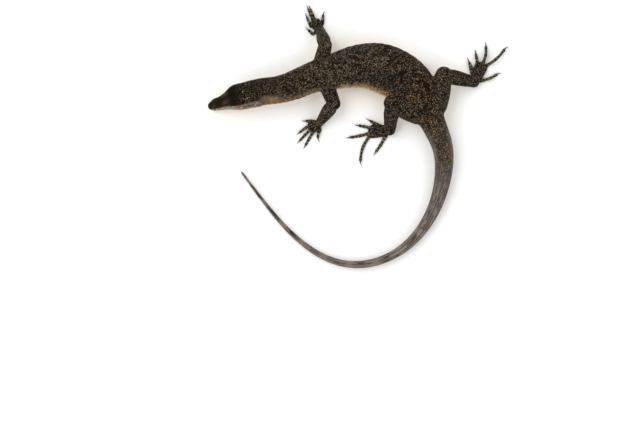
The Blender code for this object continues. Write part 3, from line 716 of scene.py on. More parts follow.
def sole(limb, ankle, heading):
    """Palm or sole: low and broad, pressed flat on the floor."""
    share = np.linspace(SOLE_OUTLINE[0][0], SOLE_OUTLINE[-1][0], 40)
    outline = along(SOLE_OUTLINE, share)
    heights = along(FOOT_HEIGHTS, share) * outline
    path = ankle + heading_vector(heading) * (share * limb["foot_length"])[:, None]
    path[:, 2] = heights * math.cos(math.pi / 10) - PAD_SUNK
    widths = along(limb["foot_widths"], share) * outline
    return tube("sole", path, widths - COAT_DEPTH / 2, heights - COAT_DEPTH / 2)


print("points in a sole's outline:", len(SOLE_OUTLINE))


# %% Digits
DIGIT_STEPS = 24


def digit(limb, index, ankle, heading, outward, digit_pose):
    """One digit, from inside the foot to its claw, swollen at its knuckles and arched off the floor."""
    spread, first, second, _, plan_share = digit_pose
    knuckle = ankle + heading_vector(heading + outward * spread) * limb["reach"][index]
    length = limb["digits"][index]
    arch = length * math.sqrt(1 - plan_share**2) / 2
    covered = length * plan_share - CLAW_SEAT
    path = [ankle + (knuckle - ankle) * share for share in np.linspace(0.5, 1, 7)]
    place = list(np.linspace(0, 1, 7))
    heights = [0.0] * 7
    for k in range(1, DIGIT_STEPS + 1):
        t = (k - 0.5) / DIGIT_STEPS
        turn = heading + outward * (first + (second - first) * t * t * (3 - 2 * t))
        path.append(path[-1] + heading_vector(turn) * (covered / DIGIT_STEPS))
        heights.append(arch * math.sin(math.pi * k / DIGIT_STEPS) ** 2)
        place.append(1 + 4 * k / DIGIT_STEPS)
    for k in range(1, 4):
        path.append(path[-1] + heading_vector(turn) * (CLAW_SEAT / 3))
        heights.append(0.0)
        place.append(5 + k / 3)
    path, share = np.array(path), np.array(place) / 6
    radii = limb["digit_radius"] * (1 - (1 - DIGIT_TAPER) * share)
    swollen = radii * (1 + KNUCKLE_SWELL * np.sin(3 * math.pi * share) ** 2) * 0.97
    to_end = np.linalg.norm(path[-1] - path, axis=1)
    path[:, 2] = (np.array(heights) + radii * math.cos(math.pi / 6) - PAD_SUNK
                  + DIGIT_RISE * np.maximum(0, 1 - to_end / RISE_LENGTH) ** 2)
    swollen *= np.sqrt(np.clip(to_end / 0.0016, 0.05, 1))
    return tube("digit", path, swollen - COAT_DEPTH / 4, swollen - COAT_DEPTH / 4)


print("lengths of the digits:", FORELIMB["digits"], HINDLIMB["digits"])


# %% Whole legs
def bone_end(start, length, heading, height):
    """Where a bone ends that heads this way on the floor plan and reaches this height."""
    end = start + heading_vector(heading) * math.sqrt(length**2 - (height - start[2]) ** 2)
    end[2] = height
    return end


def leg_of(pose):
    """All the tubes of one leg, and what its claws need to know."""
    side, limb, joint_height, upper_heading, lower_heading, foot_heading, digit_poses = pose
    outward = 1 if side == "left" else -1
    centre, _, right, _ = spine_frames(np.array([limb["root"]]))
    root = centre[0] - right[0] * (outward * limb["root_spread"])
    root[2] = limb["root_height"]
    joint = bone_end(root, limb["upper"], upper_heading, joint_height)
    ankle = bone_end(joint, limb["lower"], lower_heading, limb["wrist_height"])
    flesh = [muscle("upper", root, joint, limb["upper_radii"]),
             muscle("lower", joint, ankle, limb["lower_radii"]),
             sole(limb, ankle, foot_heading)]
    flesh += [digit(limb, index, ankle, foot_heading, outward, digit_pose)
              for index, digit_pose in enumerate(digit_poses)]
    return {"side": side, "limb": limb, "outward": outward, "tubes": flesh, "poses": digit_poses}


LEGS = [leg_of(pose) for pose in POSES]
print("tubes in each leg:", [len(leg["tubes"]) for leg in LEGS])

# %% [markdown]
# ## One skin
# Joining the legs' tubes by a voxel remesh gives one closed surface with even faces, and a few rounds of
# smoothing that alternates shrinking and swelling take the voxel steps out without thinning the toes. A
# Boolean union then grows the legs onto the body tube. It leaves a hard crease where they meet, so points
# near both surfaces are relaxed until the shoulder and the groin run over softly. The result is the one
# skin that stands for every solid of flesh.

# %% Smoothing
SMOOTH_SHARE, SMOOTH_ROUNDS, SWELL_BACK = 0.5, 6, 1.04


def relax(mesh, strength, rounds, swell_back=0.0):
    """Moves points toward the middle of their neighbours, and then back by swell_back, over some rounds."""
    points, edges = points_of(mesh), read_all(mesh.edges, "vertices", 2, np.int64)
    count, (first, second) = len(points), edges.T
    degree = np.maximum(np.bincount(edges.ravel(), minlength=count), 1)[:, None]
    for _ in range(rounds):
        for share in (1.0, -swell_back) if swell_back else (1.0,):
            total = np.stack([np.bincount(first, points[second, i], count)
                              + np.bincount(second, points[first, i], count) for i in range(3)], -1)
            points = points + (total / degree - points) * np.reshape(strength, (-1, 1)) * share
    return points


print("rounds of smoothing:", SMOOTH_ROUNDS)

# %% Melting the tubes of a leg
VOXEL = 0.0015
LIMB_SIDES, DIGIT_SIDES = 40, 18


def evaluated(obj):
    """The mesh of an object with its modifiers worked out."""
    return bpy.data.meshes.new_from_object(obj.evaluated_get(bpy.context.evaluated_depsgraph_get()))


def sleeve_faces(count, sides, turned=False):
    """Quads between all the rings of a tube of so many points."""
    return [face for a in range(0, count - sides, sides) for face in band_faces(a, a + sides, sides, turned)]


def tube_shell(flesh, sides):
    """A closed mesh of one tube: rings and two end points."""
    angles = 2 * math.pi * (np.arange(sides) + 0.5) / sides
    grid = tube_points(flesh, np.repeat(flesh["reach"], sides), np.tile(angles, len(flesh["reach"])))
    ends = np.maximum(flesh["path"][[0, -1]], (-9, -9, FLOOR_GAP))
    count = len(grid)
    faces = sleeve_faces(count, sides, turned=True) + fan_faces(count, 0, sides, turned=True)
    return np.concatenate((grid, ends)), faces + fan_faces(count + 1, count - sides, sides)


def melt(leg):
    """One closed surface from the tubes of a leg."""
    points, faces, count = [], [], 0
    for flesh in leg["tubes"]:
        shell, shell_faces = tube_shell(flesh, DIGIT_SIDES if flesh["kind"] == "digit" else LIMB_SIDES)
        points.append(shell)
        faces += [[count + i for i in face] for face in shell_faces]
        count += len(shell)
    obj = new_object("leg", mesh_of("leg", np.concatenate(points), faces))
    modifier = obj.modifiers.new("melt", "REMESH")
    modifier.mode = "VOXEL"
    modifier.voxel_size = VOXEL
    mesh = evaluated(obj)
    bpy.data.objects.remove(obj)
    smooth = relax(mesh, SMOOTH_SHARE, SMOOTH_ROUNDS, SWELL_BACK)
    mesh.vertices.foreach_set("co", lifted(smooth).ravel())
    return mesh


leg_meshes = [melt(leg) for leg in LEGS]
print("faces of the legs:", [len(mesh.polygons) for mesh in leg_meshes])


# %% Rims of the eyelids
LID_RIM = 0.00062
LID_RIM_FINENESS = (72, 10)  # steps round the eye, and round the rim itself


def head_frame():
    """From the head's own frame (back, left, up from the snout tip) to the world."""
    centre, back, right, up = (Vector(v[0]) for v in spine_frames(np.array([0.0])))
    matrix = Matrix((back, -right, up)).transposed().to_4x4()
    matrix.translation = centre
    return matrix


HEAD_FRAME = head_frame()


def lid_rim(sign):
    """A soft round edge to the lids, lying on the eyeball."""
    points, faces, (turns, sides) = [], [], LID_RIM_FINENESS
    out = EYE_PLACE[1] + math.sqrt(EYE_RADIUS**2 - LID_OPENING**2) + 0.05
    for i in range(turns):
        a = 2 * math.pi * i / turns
        for j in range(sides):
            b = 2 * math.pi * j / sides
            r = LID_OPENING + 0.15 + LID_RIM * 1000 * math.cos(b)
            place = (EYE_PLACE[0] + OPENING_LONG * r * math.cos(a),
                     sign * (out + float(lid_awning(math.sin(a))) + LID_RIM * 1300 * math.sin(b)),
                     EYE_PLACE[2] + OPENING_HIGH * r * math.sin(a))
            points.append(HEAD_FRAME @ (Vector(place) / 1000))
        band = band_faces(i * sides, (i + 1) % turns * sides, sides, turned=True)
        faces += [face[::sign] for face in band]
    return mesh_of("lid_rim", points, faces)


lid_rims = [lid_rim(sign) for sign in (1, -1)]
print("lid rims:", len(lid_rims))


# %% Growing the legs onto the body
FILLET, FILLET_FALL = 0.0095, 1.2
FILLET_SHARE, FILLET_ROUNDS = 0.55, 26


def tree_of(mesh):
    """For finding the nearest place on a mesh."""
    return BVHTree.FromPolygons(points_of(mesh).tolist(), [tuple(face.vertices) for face in mesh.polygons])


def grow_together(body, legs):
    """The union of body and legs, with the creases between them relaxed."""
    both = bmesh.new()
    for mesh in legs:
        both.from_mesh(mesh)
    all_legs = bpy.data.meshes.new("legs")
    both.to_mesh(all_legs)
    for mesh in lid_rims:
        both.from_mesh(mesh)
    grown = bpy.data.meshes.new("grown")
    both.to_mesh(grown)
    both.free()
    legs_obj = new_object("legs", grown)
    modifier = body.modifiers.new("grow legs", "BOOLEAN")
    modifier.operation = "UNION"
    modifier.object = legs_obj
    modifier.solver = "MANIFOLD"
    mesh = evaluated(body)
    near = [np.array([tree.find_nearest(p)[3] for p in points_of(mesh).tolist()])
            for tree in (tree_of(body.data), tree_of(all_legs))]
    share = np.clip(1 - np.maximum(*near) / FILLET, 0, 1) ** FILLET_FALL
    points = relax(mesh, FILLET_SHARE * share, FILLET_ROUNDS)
    mesh.vertices.foreach_set("co", lifted(points).ravel())
    bpy.data.objects.remove(legs_obj)
    return mesh


skin_mesh = grow_together(body_tube, leg_meshes)
bpy.data.objects.remove(body_tube)
skin_mesh.shade_smooth()
skin = new_object("skin", skin_mesh)
print("skin:", len(skin_mesh.vertices), "points,", len(skin_mesh.polygons), "faces")

# %% What the skin stands for
FLESH = ("head", "lower_jaw", "neck", "chest", "belly", "hips", *(f"tail_{k}" for k in range(1, 6)),
         *(f"{piece}_{side}" for limb in (FORELIMB, HINDLIMB) for piece in limb["pieces"]
           for side in ("left", "right")))
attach(skin, "root")
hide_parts(*FLESH)
print("solids under the skin:", len(FLESH))

# %% [markdown]
# ## Where the scales grow
# A monitor's scales are small beads in cross rows, about 130 round the trunk: keeled on the back,
# brick-shaped on the belly, ringed on the tail with a double crest, and an uneven pavement of plates on the
# head. Each scale grows from a root on the skin. On trunk, tail and legs the roots are laid in rows. On the
# head they are thrown like darts, and one is kept only where no kept root is too near, which gives the
# uneven pavement. Lips, lids and the rings of plates over the eyes are placed first, so that the darts fill
# in round them.

# %% Rows on trunk and tail
ROW_GAPS = ((0.098, 0.00150), (0.12, 0.0016), (0.215, 0.0018), (0.30, 0.0020), (0.45, 0.0021), (0.52, 0.0023),
            (0.70, 0.0026), (0.95, 0.0023), (1.212, 0.0017))
COLUMN_GAPS = ((0.098, 0.0014), (0.12, 0.00145), (0.215, 0.0016), (0.30, 0.0018), (0.52, 0.0018),
               (0.70, 0.0017), (0.90, 0.0015), (1.212, 0.0010))
ROWS_FROM = 0.100
RINGED_FROM = 0.555


def body_rows():
    """Station, girth and row number of each scale in the rows."""
    s, row, found = ROWS_FROM, 0, []
    while s < TOTAL_LENGTH - 0.002:
        gap, half = float(along(COLUMN_GAPS, s)), float(half_round(s))
        stagger = 0.5 if row % 2 or s > RINGED_FROM else 0.0
        place = np.arange(0, half / gap - stagger) + stagger
        girths = np.concatenate((place, -place[place > 0])) * gap / half
        found.append(np.column_stack((np.full(len(girths), s), girths, np.full(len(girths), row))))
        s += float(along(ROW_GAPS, s))
        row += 1
    return np.concatenate(found)


rows = body_rows()
print("scales in body rows:", len(rows), "in", int(rows[-1, 2]) + 1, "rows")

# %% Lips, lids and brows
RANDOM = np.random.RandomState(20)
BROW_PLACE = (62.5, 12.0)  # millimetres back from the snout, and round from the head's middle
BROW_RINGS = ((0.0, 1), (1.9, 6), (3.8, 12), (5.6, 18))
LID_RINGS = ((7.25, 62), (8.0, 66), (8.8, 68), (9.6, 66))


def side_girth(x, z):
    """How far round lies a height z on the head's side, at x back from the snout, both in millimetres."""
    return np.array([np.interp(-zz, -1000 * ABOVE[int(round(xx))], GIRTH_STEPS) for xx, zz in zip(x, z)])


def chosen_head_places():
    """Lips, lids and the rings of plates over the eyes: x, girth, size in millimetres."""
    found = []
    lip = np.arange(2.2, 78.5, 2.35)
    for above, size in ((1.25, 1.9), (-1.45, 1.9)):
        found.append(np.column_stack((lip, side_girth(lip, MOUTH_HEIGHT + above + 0 * lip), size + 0 * lip)))
    for ring, count in LID_RINGS:
        a = 2 * np.pi * (np.arange(count) + RANDOM.uniform(-0.3, 0.3, count)) / count
        out = ring + RANDOM.uniform(-0.16, 0.16, count)
        x, z = EYE_PLACE[0] + OPENING_LONG * out * np.cos(a), EYE_PLACE[2] + OPENING_HIGH * out * np.sin(a)
        found.append(np.column_stack((x, side_girth(x, z), 0.66 + 0 * x)))
    for out, count in BROW_RINGS:
        a = 2 * np.pi * (np.arange(count) + 0.5) / count
        x = BROW_PLACE[0] + 1.3 * out * np.cos(a)
        girth = (BROW_PLACE[1] + out * np.sin(a)) / (1000 * half_round(x / 1000))
        found.append(np.column_stack((x, girth, 1.8 + 0 * x)))
    right = np.concatenate(found)
    return np.concatenate((right, right * (1, -1, 1), [[85.0, 0.0, 2.6]]))


print("rings of plates over each eye:", len(BROW_RINGS), "and on its lids:", len(LID_RINGS))

# %% Darts on the head
DARTS, DART_PLENTY = 60000, 1.6
TIP_DARTS, TIP_SIZE = 600, 0.95  # for the blunt tip of the snout


def height_on_head(x, girth):
    """Millimetres above the mouth line, at x back from the snout."""
    return 1000 * looked_up(ABOVE, x / 1000, girth)


def head_scale_size(x, girth):
    """How far apart the scales stand on the head, in millimetres."""
    z, top = height_on_head(x, girth), 1 - ramp(0.26, 0.40, np.abs(girth))
    crown = top * ramp(12, 30, x) * (1 - 0.72 * ramp(62, 78, x)) * (1 - ramp(92, 104, x))
    size = 1.16 + 1.15 * crown + 0.20 * top
    size += 0.35 * ramp(0.66, 0.80, np.abs(girth))
    size = size - 0.34 * (1 - ramp(9.5, 12.5, eye_distance(x, z))) * (1 - top)
    return size * (1 - 0.25 * (1 - ramp(1, 9, x)))


def in_bare_spot(x, girth):
    """Eye, ear drum, nostril and mouth line carry no scales."""
    z = height_on_head(x, girth)
    side = (np.abs(girth) > 0.2) & (np.abs(girth) < 0.8)
    spot = side & ((eye_distance(x, z) < LID_OPENING + 0.75) | (ear_distance(x, z) < 1.02)
                   | (nostril_distance(x, z) < 1.12))
    return spot | ((np.abs(z - MOUTH_HEIGHT) < 0.62) & (x < MOUTH_LENGTH - 2))


darts = np.column_stack((RANDOM.uniform(0.9, ROWS_FROM * 1000 + 0.4, DARTS), RANDOM.uniform(-1, 1, DARTS)))
dart_size = head_scale_size(*darts.T)
share_round = half_round(darts[:, 0] / 1000) / half_round(ROWS_FROM)
wanted = RANDOM.uniform(0, 1, DARTS) < share_round / dart_size**2 * DART_PLENTY
tip_darts = np.column_stack((RANDOM.uniform(0, 1, TIP_DARTS) ** 2, RANDOM.uniform(-1, 1, TIP_DARTS),
                             np.full(TIP_DARTS, TIP_SIZE)))
head_places = np.concatenate((chosen_head_places(), tip_darts, np.column_stack((darts, dart_size))[wanted]))
head_places = head_places[~in_bare_spot(head_places[:, 0], head_places[:, 1])]
rows = rows[~in_bare_spot(1000 * rows[:, 0], rows[:, 1])]
print("places tried on the head:", len(head_places))

# %% Rows on the legs
LEG_GAPS = {"upper": (1.75, 1.55), "lower": (1.60, 1.45), "sole": (1.50, 1.40), "digit": (1.45, 1.35)}


def leg_rows(leg):
    """Tube, distance along it and angle round it, for the scales of one leg."""
    found = []
    for number, flesh in enumerate(leg["tubes"]):
        row_gap, column_gap = (gap / 1000 for gap in LEG_GAPS[flesh["kind"]])
        length = flesh["reach"][-1]
        for row, distance in enumerate(np.arange(row_gap / 2, length, row_gap)):
            width, height = (np.interp(distance, flesh["reach"], flesh[key]) for key in ("widths", "heights"))
            around = math.pi * (1.5 * (width + height) - math.sqrt(width * height))
            count = max(int(around / column_gap), 3)
            angles = 2 * np.pi * (np.arange(count) + 0.5 * (row % 2)) / count + math.pi / 2
            found.append(np.column_stack((np.full(count, number), np.full(count, distance), angles)))
    return np.concatenate(found)


leg_places = [leg_rows(leg) for leg in LEGS]
print("places tried on the legs:", [len(places) for places in leg_places])

# %% [markdown]
# ## Setting the roots on the skin
# Every place is dropped onto the nearest point of the skin, with the skin's direction there, and with the
# lie: the way tailward, or toward the toes. Places buried where a leg joins the body lie far from the skin.
# They are tried last, so that they only fill gaps in the soft crease. A grid of small boxes makes it quick
# to ask whether another root is already too near.

# %% Places and their lie
def body_roots(stations, girths):
    """Places and lie of roots on the body tube."""
    ahead = body_points(np.minimum(stations + 0.001, TOTAL_LENGTH), girths, bare=True)
    behind = body_points(np.maximum(stations - 0.001, 0), girths, bare=True)
    return body_points(stations, girths), ahead - behind


def leg_roots(leg, places):
    """Places and lie of roots on the tubes of a leg."""
    points, lies = np.empty((2, len(places), 3))
    for number, flesh in enumerate(leg["tubes"]):
        mine = places[:, 0] == number
        distance, angle = places[mine, 1], places[mine, 2]
        points[mine] = tube_points(flesh, distance, angle)
        lies[mine] = tube_points(flesh, distance + 0.001, angle) - tube_points(flesh, distance - 0.001, angle)
    return points, lies


print("places to drop:", len(head_places) + len(rows) + sum(len(places) for places in leg_places))

# %% Roots kept apart
KEPT_APART = 0.80


def kept_apart(points, sizes, order):
    """Which roots stay when each, in order, has to be clear of those kept before it."""
    cell = sizes.max()
    boxes, kept = {}, np.zeros(len(points), bool)
    keys = np.floor(points / cell).astype(int).tolist()
    near = list(itertools.product((-1, 0, 1), repeat=3))
    place, size = points.tolist(), sizes.tolist()
    for index in order:
        (x, y, z), (a, b, c), own = place[index], keys[index], size[index]
        others = (other for i, j, k in near for other in boxes.get((a + i, b + j, c + k), ()))
        if all((u - x) ** 2 + (v - y) ** 2 + (w - z) ** 2 >= (KEPT_APART * (own + other) / 2) ** 2
               for u, v, w, other in others):
            boxes.setdefault((a, b, c), []).append((x, y, z, own))
            kept[index] = True
    return kept


in_line = np.array([[0.0, 0.0, 0.0], [0.001, 0.0, 0.0], [0.003, 0.0, 0.0]])
print("three places in a line, the middle one too near:", kept_apart(in_line, np.full(3, 0.002), range(3)))

# %% Facts of every place
COLUMNS = ("kind", "along", "round", "row", "size", "height", "piece")
KINDS = {"body": 0, "head": 1, "upper": 2, "lower": 3, "sole": 4, "digit": 5}
BODY_COAT = (("scales_muzzle", 0.056), ("scales_head", 0.108), ("scales_neck", 0.215),
             ("scales_trunk_front", 0.355), ("scales_trunk_rear", 0.500), ("scales_tail_base", 0.700),
             ("scales_tail_tip", TOTAL_LENGTH))
HEAD_COAT = ("scales_muzzle", "scales_head")
LEG_COAT = tuple(f"scales_{leg}_{side}" for leg in ("foreleg", "hindleg") for side in ("left", "right"))
SCALE_HEIGHTS = ((0.0, 0.26), (0.100, 0.28), (0.130, 0.32), (0.300, 0.38), (0.520, 0.42), (0.800, 0.40),
                 (1.212, 0.26))
LEG_SCALE_HEIGHT = 0.19  # as a share of the gap between them


def coat_piece(stations):
    return np.searchsorted([end for _, end in BODY_COAT], stations, side="left").clip(0, len(BODY_COAT) - 1)


def gather_roots():
    """One row of facts, a place, and a lie for each place tried."""
    tried = []
    for places, kind in ((head_places, "head"), (rows, "body")):
        s, girth, last = places.T
        if kind == "head":
            s, size, row = s / 1000, last / 1000, 0 * s
        else:
            size, row = along(COLUMN_GAPS, s), last
        height = along(SCALE_HEIGHTS, s) / 1000
        known = np.column_stack((0 * s + KINDS[kind], s, girth, row, size, height, coat_piece(s)))
        tried.append((known, *body_roots(s, girth)))
    for index, (leg, places) in enumerate(zip(LEGS, leg_places)):
        number, distance, angle = places.T
        kinds = np.array([KINDS[flesh["kind"]] for flesh in leg["tubes"]])[number.astype(int)]
        gaps = np.array([LEG_GAPS[flesh["kind"]][1] for flesh in leg["tubes"]])[number.astype(int)]
        known = np.column_stack((kinds, distance, angle, number, gaps / 1000, gaps * LEG_SCALE_HEIGHT / 1000,
                                 0 * kinds + len(BODY_COAT) + index))
        tried.append((known, *leg_roots(leg, places)))
    return [np.concatenate(column) for column in zip(*tried)]


print("pieces of coat:", len(BODY_COAT) + len(LEG_COAT))

# %% Roots on the skin
BURIED, TOO_DEEP = 0.0013, 0.0045


def unit(vectors):
    return vectors / np.maximum(np.linalg.norm(vectors, axis=1, keepdims=True), 1e-12)


def set_on_skin(mesh, facts, points, lies):
    """Roots, outward directions and lies on the skin, of the places that stay."""
    tree = tree_of(mesh)
    normals = read_all(mesh.vertex_normals, "vector", 3)
    face_normals = np.array([normals[list(face.vertices)].mean(0) for face in mesh.polygons])
    hits = [tree.find_nearest(p) for p in points.tolist()]
    roots = np.array([hit[0] for hit in hits])
    outward = unit(face_normals[[hit[2] for hit in hits]])
    deep = np.array([hit[3] for hit in hits])
    order = np.argsort(np.where(deep > BURIED, 1, 0), kind="stable")
    order = order[deep[order] < TOO_DEEP]
    kept = kept_apart(roots, facts[:, 4], order.tolist())
    lie = unit(lies - outward * (lies * outward).sum(1, keepdims=True))
    return facts[kept], roots[kept], outward[kept], lie[kept]


facts, roots, outward, lie = set_on_skin(skin_mesh, *gather_roots())
fact = dict(zip(COLUMNS, facts.T))
print("scales:", len(roots), "of which on the head", int((fact["kind"] == KINDS["head"]).sum()))

# %% [markdown]
# ## Cutting each scale to fit
# A scale reaches as far as halfway to its neighbours, less a thin line of bare skin. In each of eight
# directions round the root, or twelve on the head, the nearest halfway line says how far the outline may
# go. That fits every scale between its neighbours, in rows, in creases and in the head's pavement alike.
# The outline is sunk into the skin, and a keel of two points stands over it, so a scale of the body is
# sixteen triangles.

# %% Outlines between neighbours
NEIGHBOURS = 11
SMALLEST = 0.0002
FACING_ALIKE = 0.15  # under this, a neighbour is on the far side of a thin part

tree_of_roots = KDTree(len(roots))
for index, root in enumerate(roots.tolist()):
    tree_of_roots.insert(root, index)
tree_of_roots.balance()
near = np.array([[found[1] for found in tree_of_roots.find_n(root, NEIGHBOURS + 1)][1:]
                 for root in roots.tolist()])
sideways = np.cross(outward, lie)
offset = roots[near] - roots[:, None]
same_side = (outward[near] * outward[:, None]).sum(2) > FACING_ALIKE
along_lie = (offset * lie[:, None]).sum(2)
across_lie = (offset * sideways[:, None]).sum(2)


def outline_of(mine, turns, gap, longest):
    """How far each of these scales reaches in each direction, up to a share of its size."""
    u, v, beside = along_lie[mine], across_lie[mine], same_side[mine]
    reach = np.empty((len(mine), len(turns)))
    for index, turn in enumerate(turns):
        toward = u * math.cos(turn) + v * math.sin(turn)
        halfway = np.where(beside & (toward > 1e-5), (u**2 + v**2) / (2 * np.maximum(toward, 1e-5)), 1.0)
        reach[:, index] = halfway.min(1)
    return np.clip(reach - gap / 2, SMALLEST, fact["size"][mine][:, None] * longest)


print("roots with neighbours:", near.shape)

# %% [markdown]
# ## What each scale is painted
# The animal is black-brown above and cream below. Some scales are flecked gold, some of those in small
# rings that stand in cross rows on back and hips. Neck, shoulders and legs are greyer, the tail turns ash
# with dark dashes and bands, dark bars run down from the flanks into the cream, and the head has rusty
# patches, slate streaks before and behind the eye, cream lids and barred lips. Painting this as an image
# would need a map of the whole animal. Here each mark is an amount from 0 to 1, worked out from where the
# scale's root is, and the material mixes its paints by these amounts. The skin between takes the amounts of
# the nearest roots, so both carry the same marks.

# %% Amounts of each mark
MARKS = ("pale", "gold", "greyed", "ash", "warm", "slate", "dark", "tone")
LIGHT_BAND, BAND_PERIOD = 0.917, 0.0537  # where one light band of the tail lies, and how far to the next
RING_ROWS, RING_COLUMNS = 0.0108, 0.0096
ROW_STATIONS = np.unique(rows[:, 0])


def hashed(*numbers):
    """An even but unruly value from 0 to 1 for whole numbers."""
    total = sum(np.asarray(n, float) * w for n, w in zip(numbers, (12.9898, 78.233, 37.719)))
    return np.abs(np.sin(total) * 43758.5453) % 1


def drift(points, width, seed):
    """A slow wave from -1 to 1 over places, about as long as the width."""
    draw = np.random.RandomState(seed)
    waves = draw.normal(size=(5, 3)) / width * 2.2
    return np.sin(points @ waves.T + draw.uniform(0, 6.3, 5)).sum(1) / 3.2


print("marks:", ", ".join(MARKS))


# %% Small broken rings
def ocelli(s, girth):
    """Amounts of line, of calm inside and round it, and of rust, for small broken rings in staggered rows."""
    ring, calm, rust = np.zeros(len(s)), np.zeros(len(s)), np.zeros(len(s))
    arc = girth * half_round(s)
    for k, middle in enumerate(np.arange(0.236, 0.610, RING_ROWS)):
        row = np.nonzero(np.abs(s - middle) < 0.009)[0]
        for j in range(-8, 9):
            across = arc[row] - (j + 0.5 * (k % 2) + 0.5 * (hashed(k, j, 1) - 0.5)) * RING_COLUMNS
            back = s[row] - middle - 0.005 * (hashed(k, j, 2) - 0.5)
            distance, radius = np.hypot(across, back), 0.0022 + 0.0011 * hashed(k, j, 3)
            sector = np.floor((np.arctan2(across, back) / (2 * math.pi) + hashed(k, j, 4)) * 6)
            line = (np.abs(distance - radius) < 0.00075) & (hashed(sector, k, j) < 0.74)
            shown = hashed(k, j, 5)
            if shown < 0.35:
                continue
            ring[row] = np.maximum(ring[row], line * (0.15 + 0.52 * shown**2))
            calm[row] = np.maximum(calm[row], 1 - ramp(radius + 0.0009, radius + 0.0018, distance))
            rust[row] = np.maximum(rust[row], line * 0.45 * (hashed(k, j, 6) < 0.10))
    kept = ramp(0.235, 0.30, s) * (1 - ramp(0.40, 0.52, np.abs(girth))) * (1 - ramp(0.57, 0.62, s))
    return ring * kept, calm * kept, rust * kept


print("rings stand in rows", RING_ROWS, "m apart")


# %% Marks of the tail
def paint_tail(marks, s, girth, places, chance, on_tail):
    """Ash, dashes and bands over the marks that the trunk carries on to the tail."""
    shade, pick, turn = chance[:, 1], chance[:, 2], np.abs(girth)
    side_of_tail = ramp(0.12, 0.32, turn) * ramp(0.50, 0.57, s)
    marks["ash"] = np.maximum(0.92 * ramp(0.57, 0.68, s), side_of_tail * (0.38 + 0.42 * shade))
    marks["ash"] = np.maximum(marks["ash"], 0.12 * ramp(0.49, 0.56, s))
    column = np.round(girth * half_round(s) / 0.0026)
    dash = hashed(column, np.floor(s / 0.014 + 7 * hashed(column, 4))) < np.where(column % 2 == 0, 0.82, 0.06)
    banded = ramp(0.62, 0.80, s)
    from_light = np.abs(((s - LIGHT_BAND) / BAND_PERIOD + 0.5 + 0.05 * drift(places, 0.03, 13)) % 1 - 0.5)
    light = (1 - ramp(0.08, 0.17, from_light)) * banded
    dark_band = ramp(0.14, 0.22, from_light) * banded
    dashed = 0.58 * dash * ramp(0.58, 0.66, s) * (1 - 0.3 * ramp(0.90, 1.05, s)) * (1 - 0.45 * light)
    tip, far_tip = ramp(0.93, 1.02, s), ramp(1.00, 1.08, s)
    dark = marks["dark"] * (1 - on_tail) + dashed + (0.06 + 0.24 * tip) * dark_band + 0.18 * far_tip
    pale = marks["pale"] * (1 - 0.85 * tip * dark_band) + 0.09 * light + 0.12 * (1 - dash) * banded
    marks["dark"], marks["pale"] = np.clip(dark, 0, 0.9), np.clip(pale, 0, 1)
    marks["warm"] += 0.10 * light + 0.22 * marks["pale"] * (1 - ramp(0.30, 0.40, s)) * (turn > 0.5)
    speck = marks["pale"] * (1 - ramp(0.62, 0.9, turn)) * (pick < 0.14) * (1 - banded)
    marks["pale"] = marks["pale"] - 0.7 * speck


print("light bands of the tail come every", BAND_PERIOD, "m")


